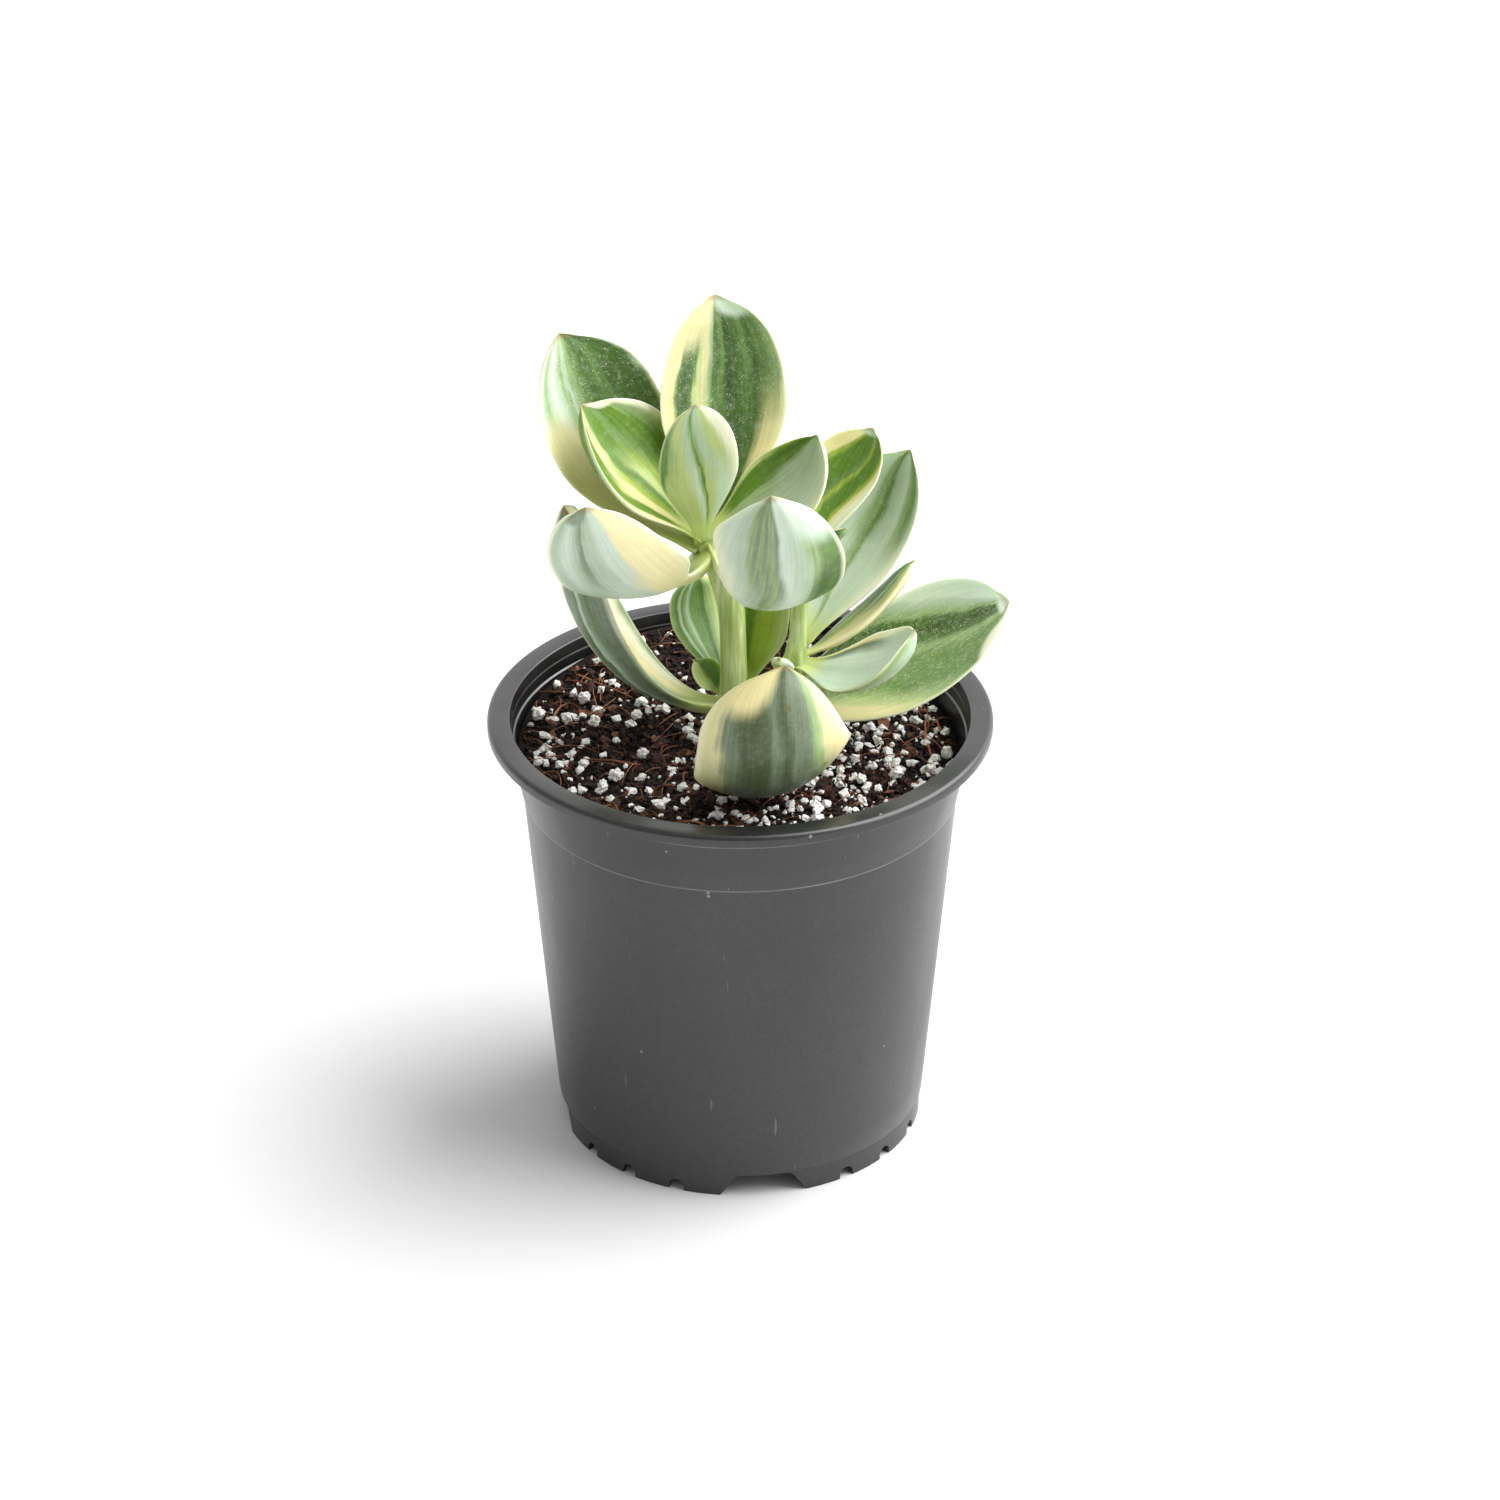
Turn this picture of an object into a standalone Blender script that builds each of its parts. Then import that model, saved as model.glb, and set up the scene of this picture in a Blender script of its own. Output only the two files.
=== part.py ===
"""A young variegated jade plant in a round nursery pot, at rest. Metres, +Z up, base on z = 0.

Thin plastic pot, potting soil with loose perlite and coir, one leaning main stem with a crown of
leaves, one side shoot, and fleshy leaves in crossed pairs. Every leaf is one closed body made by
one rule from its own direction, bend, length and width.
"""
import math
from dataclasses import dataclass

import bmesh
import bpy
import numpy as np
from mathutils import Vector
from mathutils.bvhtree import BVHTree

MM = 0.001
GAP = 0.0003

# --- overall sizes -------------------------------------------------------------------------
POT_HEIGHT = 0.0971
RIM_RADIUS = 0.0540
PLANT_SPREAD = 0.1100
LEAF_THICKNESS = 0.0028
STEM_RADIUS = 0.0032

# --- pot -----------------------------------------------------------------------------------
WALL = 0.0011
LIP_HEIGHT = 0.0026
LIP_OVERHANG = 0.0041
RIM_ROUND = 0.0008
BODY_TAPER = 0.088
SHOULDER_BELOW_RIM = 0.0171
SHOULDER_STEP = 0.0002
COLLAR_DRAFT = 0.210
LEDGE_BELOW_RIM = 0.0051
LEDGE_STEP = 0.0003
FOOT_HEIGHT = 0.0056
FOOT_INSET = 0.0005
FLOOR_THICKNESS = 0.0012
FOOT_TURN = math.radians(-82.5)
WIDE_GAP_TOP = 0.0120
WIDE_GAP_BOTTOM = 0.0190
NOTCH_RADIUS = 0.0017
NOTCH_HEIGHT = 0.0026
NOTCH_ANGLES = (28, 45, 62)
FOOT_QUARTERS = 4
POT_SIDES = 72

# --- soil ----------------------------------------------------------------------------------
SOIL_BELOW_RIM = 0.0076
SOIL_FALL_RIGHT = 0.0020
SOIL_RISE_BACK = 0.0025
SOIL_ROUGHNESS = 0.0004
HOLLOW_DEPTH = 0.0016
HOLLOW_AT = (-0.021, -0.001)
HOLLOW_RADIUS = 0.007
STEM_BURIAL = 0.0110
POCKET_CLEARANCE = 0.0004
FIBRE_RADIUS = 0.00032
SOIL_EDGE_SHARE = 0.97

# --- plant proportions, as shares of the spread ---------------------------------------------
UNIT = PLANT_SPREAD / 110.0
SOIL_LEVEL = POT_HEIGHT - SOIL_BELOW_RIM
PETIOLE_SHARE = 0.19
LEAF_RINGS = 15
LEAF_SIDES = 12
MUCRO = 0.9 * MM
# A leaf's trim rounds off one upper corner, between these two shares of its length.
TRIM_FROM, TRIM_TO = 0.42, 0.95
STEM_SIDES = 14

# Stem centre lines: (x, y, height above the soil) in spread units, and the share of STEM_RADIUS.
MAIN_STEM = (
    ((-0.7, 0.0, 0.0), 1.00),
    ((-1.3, 0.0, 10.5), 0.95),
    ((-1.4, 0.0, 21.0), 0.88),
    ((-1.9, 0.0, 32.1), 0.88),
    ((-3.5, 0.0, 39.0), 0.86),
    ((-5.6, 0.0, 44.5), 0.84),
    ((-7.4, 0.0, 48.5), 0.72),
    ((-7.8, 0.0, 50.8), 0.38),
)
SIDE_STEM = (
    ((6.6, 0.0, 14.8), 0.68),
    ((10.3, 0.0, 17.6), 0.72),
    ((11.6, 0.0, 20.0), 0.72),
    ((12.2, 0.2, 25.5), 0.59),
    ((12.5, 0.4, 31.5), 0.56),
    ((14.0, 1.5, 41.5), 0.53),
    ((15.0, 2.5, 45.5), 0.38),
)
SIDE_STEM_FROM = 12.6


@dataclass(frozen=True)
class Leaf:
    """One leaf. Heights are above the soil and lengths are in spread units; angles are in degrees."""

    name: str
    stem: str
    node: float
    heading: float
    rise: float
    tip_rise: float
    length: float
    width: float
    cup: float = 0.4
    bend_power: float = 1.2
    sweep: float = 0.0
    roll: float = 0.0
    widest: float = 0.6
    bluntness: float = 2.4
    trim: float = 0.0
    thickness: float = 1.0
    slot: str = "leaf_mature"


LEAVES = (
    Leaf("crown_leaf_back_tall", "main", 45.6, 85, 60, 77, 52.0, 27.5, cup=0.50, bend_power=1.9,
         sweep=9, roll=15, widest=0.57, bluntness=2.3),
    Leaf("crown_leaf_back_left", "main", 47.4, 157, 24, 85, 54.5, 30.5, cup=0.50, bend_power=1.0,
         sweep=5, roll=-28, widest=0.60, bluntness=2.8),
    Leaf("crown_leaf_front_left", "main", 45.0, 234, -30, 73, 56.0, 27.0, cup=0.15, bend_power=0.6,
         sweep=5, roll=30, widest=0.51, bluntness=2.2),
    Leaf("crown_leaf_front", "main", 45.8, -68, -22, 110, 57.0, 28.0, cup=0.55, bend_power=1.1,
         sweep=-7, roll=-31, widest=0.64, bluntness=2.0),
    Leaf("crown_leaf_inner_left", "main", 50.4, 181, 39, 77, 37.5, 29.4, cup=0.49, bend_power=2.1,
         sweep=-3, roll=-20, widest=0.56, bluntness=1.95, thickness=0.85, slot="leaf_young"),
    Leaf("crown_leaf_inner_right", "main", 50.4, 1, 24, 100, 33.5, 23.5, cup=0.20, bend_power=2.6,
         sweep=-2, roll=26, widest=0.45, bluntness=2.0, thickness=0.85, slot="leaf_young"),
    Leaf("crown_leaf_young_front", "main", 50.2, -98, 75, 76, 35.5, 17.0, cup=-0.08, bend_power=0.7,
         sweep=2, roll=22, widest=0.55, bluntness=2.1, thickness=0.7, slot="leaf_young"),
    Leaf("crown_leaf_young_back", "main", 50.4, 78, 84, 92, 27.0, 11.0, cup=0.20, bend_power=1.0,
         sweep=0, roll=8, widest=0.55, bluntness=2.1, thickness=0.6, slot="leaf_young"),
    Leaf("base_leaf_left", "main", 8.7, 181, -6, 98, 65.0, 27.0, cup=0.56, bend_power=0.7,
         sweep=3, roll=5, widest=0.55, bluntness=3.0),
    Leaf("base_leaf_right", "main", 7.8, 7, -5, 43, 61.0, 34.0, cup=0.25, bend_power=0.7,
         sweep=-5, roll=15, widest=0.60, bluntness=2.5),
    Leaf("base_leaf_front", "main", 8.9, -70, -28, 150, 66.0, 36.0, cup=0.38, bend_power=1.47,
         sweep=-15, roll=10, widest=0.61, bluntness=3.3, trim=0.33),
    Leaf("base_leaf_back", "main", 11.6, 57, 72, 91, 30.0, 17.0, cup=0.10, bend_power=2.4,
         sweep=2, roll=2, widest=0.50, bluntness=3.8, thickness=0.8, slot="leaf_young"),
    Leaf("base_leaf_back_left", "main", 12.6, 113, 23, 98, 26.5, 14.5, cup=0.0, bend_power=2.0,
         sweep=1, roll=3, widest=0.65, bluntness=2.9, thickness=0.8),
    Leaf("base_leaf_small_left", "main", 11.8, 162, 46, 60, 8.5, 8.0, cup=0.40, bend_power=2.3,
         sweep=-3, roll=-18, widest=0.50, bluntness=2.2, thickness=0.6, slot="leaf_young"),
    Leaf("side_leaf_back_right", "side", 23.4, 49, 31, 83, 48.0, 24.0, cup=0.60, bend_power=2.3,
         sweep=-10, roll=5, widest=0.48, bluntness=3.0, thickness=0.9),
    Leaf("side_leaf_front_right", "side", 19.6, -36, 0, 82, 35.0, 20.0, cup=0.39, bend_power=1.75,
         sweep=6, roll=16, widest=0.50, bluntness=2.1, thickness=0.85),
    Leaf("side_leaf_right", "side", 21.0, 34, -6, 52, 31.5, 9.5, cup=0.11, bend_power=0.6,
         sweep=-13, roll=-14, widest=0.47, bluntness=2.0, slot="leaf_young"),
    Leaf("side_leaf_upper", "side", 44.9, 54, 33, 65, 28.5, 18.0, cup=0.60, bend_power=1.9,
         sweep=-1, roll=-2, widest=0.60, bluntness=2.0, thickness=0.8, slot="leaf_young"),
    Leaf("side_leaf_tiny", "side", 43.4, -23, 52, 54, 10.5, 5.3, cup=0.40, bend_power=2.6,
         sweep=-2, roll=-26, widest=0.50, bluntness=3.2, thickness=0.45, slot="leaf_young"),
    Leaf("side_shoot_bud", "side", 18.9, -114, 30, 68, 6.2, 5.2, cup=0.20, bend_power=1.0,
         roll=0, widest=0.50, bluntness=2.6, thickness=0.8, slot="leaf_young"),
)


# --- loose pieces lying on the soil, at (x, y) in shares of the soil's outer radius -----------
GRAINS = (
    (-0.66, 0.11, 2.1), (-0.55, -0.37, 2.3), (-0.61, -0.46, 2.0), (-0.92, 0.17, 2.2),
    (-0.79, 0.13, 1.8), (-0.84, 0.42, 1.7), (-0.71, 0.31, 1.9), (0.66, 0.27, 2.2),
    (0.54, -0.30, 1.9), (0.70, -0.25, 2.1), (0.93, -0.03, 2.0), (0.45, -0.23, 1.6),
    (0.59, 0.15, 1.5), (0.85, -0.16, 1.5), (-0.47, 0.18, 1.9), (-0.44, -0.14, 1.9),
)
FIBRES = (
    ((0.87, 0.33), (0.84, 0.23), (0.84, 0.10), (0.86, -0.03)),
    ((0.89, 0.29), (0.90, 0.24), (0.915, 0.18)),
    ((-0.75, 0.53), (-0.66, 0.46), (-0.57, 0.39), (-0.49, 0.34)),
    ((-0.85, 0.18), (-0.82, 0.26), (-0.77, 0.31)),
    ((-0.72, -0.18), (-0.56, -0.20), (-0.44, -0.22)),
)
FIBRE_ARCH = (0.9, 0.5, 0.3, 0.4, 0.2)


def clear_scene():
    for obj in list(bpy.data.objects):
        bpy.data.objects.remove(obj, do_unlink=True)


def material(name, colour, roughness, metallic=0.0):
    found = bpy.data.materials.new(name)
    found.use_nodes = True
    shader = found.node_tree.nodes["Principled BSDF"]
    shader.inputs["Base Color"].default_value = (*colour, 1.0)
    shader.inputs["Roughness"].default_value = roughness
    shader.inputs["Metallic"].default_value = metallic
    return found


def make_materials():
    return {
        "pot_plastic": material("pot_plastic", (0.055, 0.057, 0.060), 0.42),
        "soil": material("soil", (0.030, 0.018, 0.012), 0.95),
        "stem": material("stem", (0.30, 0.40, 0.12), 0.55),
        "leaf_mature": material("leaf_mature", (0.36, 0.47, 0.26), 0.38),
        "leaf_young": material("leaf_young", (0.28, 0.44, 0.10), 0.36),
        "perlite": material("perlite", (0.86, 0.85, 0.82), 0.90),
        "coir": material("coir", (0.40, 0.20, 0.09), 0.85),
    }


def add_object(name, points, faces, slot, materials, smooth=True):
    mesh = bpy.data.meshes.new(name)
    mesh.from_pydata([tuple(p) for p in points], [], faces)
    mesh.validate()
    shell = bmesh.new()
    shell.from_mesh(mesh)
    bmesh.ops.recalc_face_normals(shell, faces=shell.faces)
    shell.to_mesh(mesh)
    shell.free()
    if smooth:
        mesh.shade_smooth()
    if slot:
        mesh.materials.append(materials[slot])
    obj = bpy.data.objects.new(name, mesh)
    bpy.context.scene.collection.objects.link(obj)
    return obj


def closed_rings(rings, start=None, end=None):
    """Points and faces of a closed body through rings of equal count, with a fan at each end."""
    count = len(rings[0])
    points = [p for ring in rings for p in ring]
    faces = []
    for k in range(len(rings) - 1):
        low, high = k * count, (k + 1) * count
        for i in range(count):
            j = (i + 1) % count
            faces.append((low + i, low + j, high + j, high + i))
    for centre, first in ((start, 0), (end, (len(rings) - 1) * count)):
        tip = len(points)
        points.append(np.mean(rings[first // count], axis=0) if centre is None else centre)
        for i in range(count):
            faces.append((first + i, first + (i + 1) % count, tip))
    return points, faces


# --- pot -----------------------------------------------------------------------------------
def body_radius(z):
    """Outer radius of the pot's body at height z, below the lip."""
    collar_foot = POT_HEIGHT - SHOULDER_BELOW_RIM
    at_lip = RIM_RADIUS - LIP_OVERHANG
    at_shoulder = at_lip - COLLAR_DRAFT * (POT_HEIGHT - LIP_HEIGHT - collar_foot)
    if z >= collar_foot:
        return at_shoulder + COLLAR_DRAFT * (z - collar_foot)
    return at_shoulder - SHOULDER_STEP - BODY_TAPER * (collar_foot - z)


def bore_radius(z):
    """Inner radius of the pot, without the small ledge near the rim."""
    return body_radius(z) - WALL


def floor_underside():
    return FOOT_HEIGHT - 0.3 * FLOOR_THICKNESS


def floor_top():
    return floor_underside() + FLOOR_THICKNESS


def pot_profile():
    """(radius, height) from the middle of the underside, round the outside, to the floor."""
    shoulder = POT_HEIGHT - SHOULDER_BELOW_RIM
    ledge = POT_HEIGHT - LEDGE_BELOW_RIM
    lip = POT_HEIGHT - LIP_HEIGHT
    foot = body_radius(FOOT_HEIGHT) - FOOT_INSET
    rim_bore = bore_radius(lip) + LEDGE_STEP
    corner = WALL
    return (
        (foot - WALL, floor_underside()),
        (foot - WALL, 0.0),
        (foot, 0.0),
        (foot, FOOT_HEIGHT),
        (body_radius(FOOT_HEIGHT), FOOT_HEIGHT + 0.5 * FOOT_INSET),
        (body_radius(shoulder - SHOULDER_STEP), shoulder - SHOULDER_STEP),
        (body_radius(shoulder), shoulder),
        (body_radius(lip), lip),
        (RIM_RADIUS - 0.5 * RIM_ROUND, lip),
        (RIM_RADIUS, lip + 0.5 * RIM_ROUND),
        (RIM_RADIUS, POT_HEIGHT - RIM_ROUND),
        (RIM_RADIUS - 0.3 * RIM_ROUND, POT_HEIGHT - 0.3 * RIM_ROUND),
        (RIM_RADIUS - RIM_ROUND, POT_HEIGHT),
        (rim_bore + 0.3 * RIM_ROUND, POT_HEIGHT),
        (rim_bore, POT_HEIGHT - 0.3 * RIM_ROUND),
        (bore_radius(ledge) + LEDGE_STEP, ledge),
        (bore_radius(ledge - LEDGE_STEP), ledge - LEDGE_STEP),
        (bore_radius(shoulder), shoulder),
        (bore_radius(floor_top() + corner), floor_top() + corner),
        (bore_radius(floor_top()) - corner, floor_top()),
    )


def ring_of(radius, z, sides, centre=(0.0, 0.0)):
    turns = np.arange(sides) * 2 * math.pi / sides
    flat = np.stack([centre[0] + radius * np.cos(turns), centre[1] + radius * np.sin(turns)], 1)
    return np.column_stack([flat, np.full(sides, z) if np.isscalar(z) else z])


def skirt_cutter(outline, turn):
    """Closed prism through the foot skirt; the outline is (sideways, height)."""
    foot = body_radius(FOOT_HEIGHT) - FOOT_INSET
    out = np.array([math.cos(turn), math.sin(turn), 0.0])
    side = np.array([-math.sin(turn), math.cos(turn), 0.0])
    rings = []
    for reach in (foot - 4 * WALL, foot + 3 * WALL):
        rings.append([reach * out + x * side + np.array([0, 0, z]) for x, z in outline])
    return rings


def make_pot(materials):
    rings = [ring_of(r, z, POT_SIDES) for r, z in pot_profile()]
    bottom, top = (0.0, 0.0, floor_underside()), (0.0, 0.0, floor_top())
    pot = add_object("nursery_pot", *closed_rings(rings, bottom, top), "pot_plastic", materials)
    head = floor_underside() - 0.2 * MM
    below = -1.0 * MM
    spread = (WIDE_GAP_BOTTOM - WIDE_GAP_TOP) / (2 * head)
    ease = 0.9 * MM
    low, high = WIDE_GAP_BOTTOM / 2 - spread * below, WIDE_GAP_TOP / 2
    wide = [(-low, below), (low, below), (high + spread * ease, head - ease)]
    wide += [(high - 0.6 * ease, head), (0.6 * ease - high, head), (-high - spread * ease, head - ease)]
    arch = [(-NOTCH_RADIUS, below), (NOTCH_RADIUS, below)]
    spring = NOTCH_HEIGHT - NOTCH_RADIUS
    for k in range(9):
        turn = math.pi * k / 8
        arch.append((NOTCH_RADIUS * math.cos(turn), spring + NOTCH_RADIUS * math.sin(turn)))
    points, faces = [], []
    for quarter in range(FOOT_QUARTERS):
        start = FOOT_TURN + quarter * 2 * math.pi / FOOT_QUARTERS
        cuts = [(wide, start)]
        cuts += [(arch, start + math.radians(a) * 4 / FOOT_QUARTERS) for a in NOTCH_ANGLES]
        for outline, turn in cuts:
            some, these = closed_rings(skirt_cutter(outline, turn))
            faces += [tuple(i + len(points) for i in face) for face in these]
            points += [tuple(p) for p in some]
    cutter = add_object("skirt_cutter", points, faces, None, materials, smooth=False)
    cutter.hide_render = True
    cutter.display_type = "WIRE"
    cut = pot.modifiers.new("skirt_openings", "BOOLEAN")
    cut.operation = "DIFFERENCE"
    cut.solver = "EXACT"
    cut.object = cutter
    return pot


# --- soil ----------------------------------------------------------------------------------
def soil_height(x, y):
    """Height of the soil surface, from the level that the plant's heights are counted from."""
    reach = bore_radius(SOIL_LEVEL)
    u, v = x / reach, y / reach
    z = SOIL_LEVEL - SOIL_FALL_RIGHT * (u + u * u) + SOIL_RISE_BACK * (v + v * v)
    away = math.hypot(x - HOLLOW_AT[0], y - HOLLOW_AT[1]) / HOLLOW_RADIUS
    z -= HOLLOW_DEPTH * math.exp(-away * away)
    ripple = math.sin(310 * x + 1.3) * math.sin(270 * y + 0.4) + 0.6 * math.sin(520 * x - 430 * y)
    return z + SOIL_ROUGHNESS * ripple * 0.6


def make_soil(materials):
    foot, radius = stem_at("main", -STEM_BURIAL / UNIT)
    pocket = radius * 1.06 + POCKET_CLEARANCE
    shoulder = POT_HEIGHT - SHOULDER_BELOW_RIM
    bottom = floor_top() + GAP
    corner = bottom + WALL
    turns = np.arange(POT_SIDES) * 2 * math.pi / POT_SIDES
    rings = [ring_of(pocket, SOIL_LEVEL - STEM_BURIAL - GAP, POT_SIDES, foot[:2])]
    steps = (0.0, 0.06, 0.14, 0.23, 0.33, 0.44, 0.56, 0.68, 0.79, 0.89, 0.96, 1.0)
    for step in steps:
        ring = []
        for turn in turns:
            out = np.array([math.cos(turn), math.sin(turn)])
            inner = foot[:2] + pocket * out
            wall = (bore_radius(SOIL_LEVEL) - GAP) * out
            z = soil_height(*(wall * 1.0))
            wall = (bore_radius(z) - GAP) * out
            x, y = inner + (wall - inner) * step
            ring.append((x, y, soil_height(x, y) if step < 1 else z))
        rings.append(np.array(ring))
    for z in (shoulder, corner):
        rings.append(ring_of(bore_radius(z) - GAP, z, POT_SIDES))
    rings.append(ring_of(bore_radius(floor_top()) - WALL - GAP, bottom, POT_SIDES))
    start = (*foot[:2], SOIL_LEVEL - STEM_BURIAL - GAP)
    points, faces = closed_rings(rings, start, (0.0, 0.0, bottom))
    return add_object("potting_soil", points, faces, "soil", materials)


# --- stems ---------------------------------------------------------------------------------
def centre_line(stem):
    table = MAIN_STEM if stem == "main" else SIDE_STEM
    places = [np.array([x * UNIT, y * UNIT, SOIL_LEVEL + h * UNIT]) for (x, y, h), _ in table]
    return places, [share * STEM_RADIUS for _, share in table]


def stem_at(stem, height):
    """Centre and radius of a stem at a height above the soil, in spread units."""
    places, radii = centre_line(stem)
    z = SOIL_LEVEL + height * UNIT
    levels = [p[2] for p in places]
    x, y = (np.interp(z, levels, [p[k] for p in places]) for k in (0, 1))
    return np.array([x, y, z]), float(np.interp(z, levels, radii))


def tube(name, places, radii, slot, materials, sides):
    places = [np.asarray(p, float) for p in places]
    rings = []
    for k, (place, radius) in enumerate(zip(places, radii)):
        along = places[min(k + 1, len(places) - 1)] - places[max(k - 1, 0)]
        along = along / np.linalg.norm(along)
        across = np.cross(along, (0.0, 1.0, 0.0) if abs(along[1]) < 0.8 else (1.0, 0.0, 0.0))
        across /= np.linalg.norm(across)
        other = np.cross(along, across)
        turns = np.arange(sides) * 2 * math.pi / sides
        ring = place + radius * (np.outer(np.cos(turns), across) + np.outer(np.sin(turns), other))
        rings.append(ring)
    return add_object(name, *closed_rings(rings), slot, materials)


def make_stems(materials):
    places, radii = centre_line("main")
    buried = places[0] - np.array([0, 0, STEM_BURIAL])
    tube("main_stem", [buried] + places, [radii[0]] + radii, "stem", materials, STEM_SIDES)
    places, radii = centre_line("side")
    root, thick = stem_at("main", SIDE_STEM_FROM)
    way = places[0] - root
    level = math.hypot(way[0], way[1])
    tilt = abs(way[2]) / np.linalg.norm(way)
    clear = thick * 1.05 + GAP + radii[0] * tilt
    start = root + way * (clear / level)
    tube("side_shoot_stem", [start] + places, [radii[0]] + radii, "stem", materials, STEM_SIDES)


# --- leaves --------------------------------------------------------------------------------
def width_share(s, leaf):
    """Half-width along the leaf, as a share of the widest: narrow stalk, full blade, blunt end."""
    a = np.clip(s / leaf.widest, 0, 1)
    a = a * a * (3 - 2 * a)
    low = PETIOLE_SHARE + (1 - PETIOLE_SHARE) * a**0.9
    b = np.clip((s - leaf.widest) / (1 - leaf.widest), 0, 1)
    high = np.sqrt(np.clip(1 - b**leaf.bluntness, 0, 1))
    return np.where(s < leaf.widest, low, high)


def leaf_spine(leaf):
    """Samples along the midrib: share, place, direction, sideways and face directions."""
    centre, radius = stem_at(leaf.stem, leaf.node)
    thick = LEAF_THICKNESS * leaf.thickness
    s = np.linspace(0, 1, 61)
    rise = np.radians(leaf.rise + (leaf.tip_rise - leaf.rise) * s**leaf.bend_power)
    heading = np.radians(leaf.heading + leaf.sweep * s)
    flat = np.stack([np.cos(heading), np.sin(heading), np.zeros_like(s)], 1)
    along = flat * np.cos(rise)[:, None] + np.outer(np.sin(rise), (0, 0, 1))
    stand_off = radius + 0.4 * MM + 0.45 * thick * abs(math.sin(rise[0]))
    step = leaf.length * UNIT / (len(s) - 1)
    places = np.zeros((len(s), 3))
    places[1:] = np.cumsum((along[1:] + along[:-1]) / 2 * step, axis=0)
    places += centre + flat[0] * stand_off
    side = np.stack([-np.sin(heading), np.cos(heading), np.zeros_like(s)], 1)
    face = np.cross(along, side)
    turn = math.radians(leaf.roll)
    rolled = side * math.cos(turn) + face * math.sin(turn)
    return s, places, along, rolled, face * math.cos(turn) - side * math.sin(turn)


def make_leaf(leaf, materials):
    s, places, along, side, face = leaf_spine(leaf)
    shares = 1 - (1 - np.arange(LEAF_RINGS) / LEAF_RINGS) ** 1.7
    turns = np.arange(LEAF_SIDES) * 2 * math.pi / LEAF_SIDES
    across, over = np.cos(turns), np.sin(turns)
    rings = []
    for share in shares:
        place, out, up = (
            np.array([np.interp(share, s, row[:, k]) for k in range(3)]) for row in (places, side, face)
        )
        fill = float(width_share(np.array(share), leaf))
        half = fill * leaf.width * UNIT / 2
        thick = LEAF_THICKNESS * leaf.thickness / 2 * min(1.0, 1.5 * fill)
        narrowing = min(1.0, max(0.0, (share - TRIM_FROM) / (TRIM_TO - TRIM_FROM)))
        trimmed = 1 - leaf.trim * narrowing**2 * (3 - 2 * narrowing) * np.maximum(across, 0)
        lift = leaf.cup * half * trimmed * across**2 + thick * over
        rings.append(place + np.outer(half * trimmed * across, out) + np.outer(lift, up))
    tip = places[-1] + along[-1] * MUCRO * leaf.thickness
    return add_object(leaf.name, *closed_rings(rings, None, tip), leaf.slot, materials)


# --- loose grains and fibres ------------------------------------------------------------------
def ground_under(soil_tree, x, y):
    """Height of the soil below (x, y), or at its edge when the place is past it."""
    reach = SOIL_EDGE_SHARE * (bore_radius(SOIL_LEVEL) - GAP)
    inward = min(1.0, reach / max(math.hypot(x, y), GAP))
    above = Vector((x * inward, y * inward, 2 * POT_HEIGHT))
    return soil_tree.ray_cast(above, Vector((0, 0, -1)))[0].z


def soil_place(share_x, share_y):
    reach = bore_radius(SOIL_LEVEL) - GAP
    return share_x * reach, share_y * reach


def make_grains(soil_tree, materials):
    rng = np.random.default_rng(7)
    for number, (share_x, share_y, size) in enumerate(GRAINS, start=1):
        shell = bmesh.new()
        bmesh.ops.create_icosphere(shell, subdivisions=2, radius=1.0)
        stretch = rng.uniform(0.8, 1.15, 3)
        x, y = soil_place(share_x, share_y)
        points = []
        for vert in shell.verts:
            swell = rng.uniform(0.86, 1.08)
            points.append(np.array(vert.co) * stretch * swell * size * MM)
        faces = [tuple(v.index for v in face.verts) for face in shell.faces]
        shell.free()
        points = np.array(points) + np.array([x, y, 0.0])
        drop = min(p[2] - ground_under(soil_tree, p[0], p[1]) for p in points)
        points[:, 2] += GAP - drop
        add_object(f"perlite_grain_{number:02d}", points, faces, "perlite", materials)


def make_fibres(soil_tree, materials):
    for number, (path, arch) in enumerate(zip(FIBRES, FIBRE_ARCH), start=1):
        knots = np.array([soil_place(*p) for p in path])
        shares = np.linspace(0, 1, 9)
        at = np.linspace(0, 1, len(knots))
        places = []
        for share in shares:
            x, y = (np.interp(share, at, knots[:, k]) for k in (0, 1))
            near = [ground_under(soil_tree, x + dx, y + dy) for dx in (-MM, 0, MM) for dy in (-MM, 0, MM)]
            rise = arch * MM * math.sin(math.pi * share)
            places.append((x, y, max(near) + FIBRE_RADIUS + GAP + rise))
        radii = [FIBRE_RADIUS * (1 - 0.35 * share) for share in shares]
        tube(f"coir_fibre_{number}", places, radii, "coir", materials, 6)


def centre_footprint():
    """Slides everything sideways so that the origin is under the middle of its outline."""
    bpy.context.view_layer.update()
    shown = [obj for obj in bpy.data.objects if not obj.hide_render]
    corners = np.array([v.co for obj in shown for v in obj.data.vertices])
    middle = (corners.min(0) + corners.max(0)) / 2
    shift = Vector((-middle[0], -middle[1], 0.0))
    for obj in bpy.data.objects:
        for vert in obj.data.vertices:
            vert.co += shift


def main():
    clear_scene()
    materials = make_materials()
    make_pot(materials)
    soil = make_soil(materials)
    make_stems(materials)
    for leaf in LEAVES:
        make_leaf(leaf, materials)
    soil_tree = BVHTree.FromPolygons(
        [v.co for v in soil.data.vertices], [tuple(p.vertices) for p in soil.data.polygons]
    )
    make_grains(soil_tree, materials)
    make_fibres(soil_tree, materials)
    centre_footprint()


main()
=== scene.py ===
"""The looks of a young variegated jade plant in its nursery pot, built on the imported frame."""
import math

import bmesh
import bpy
import numpy as np
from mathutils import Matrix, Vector, noise


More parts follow.
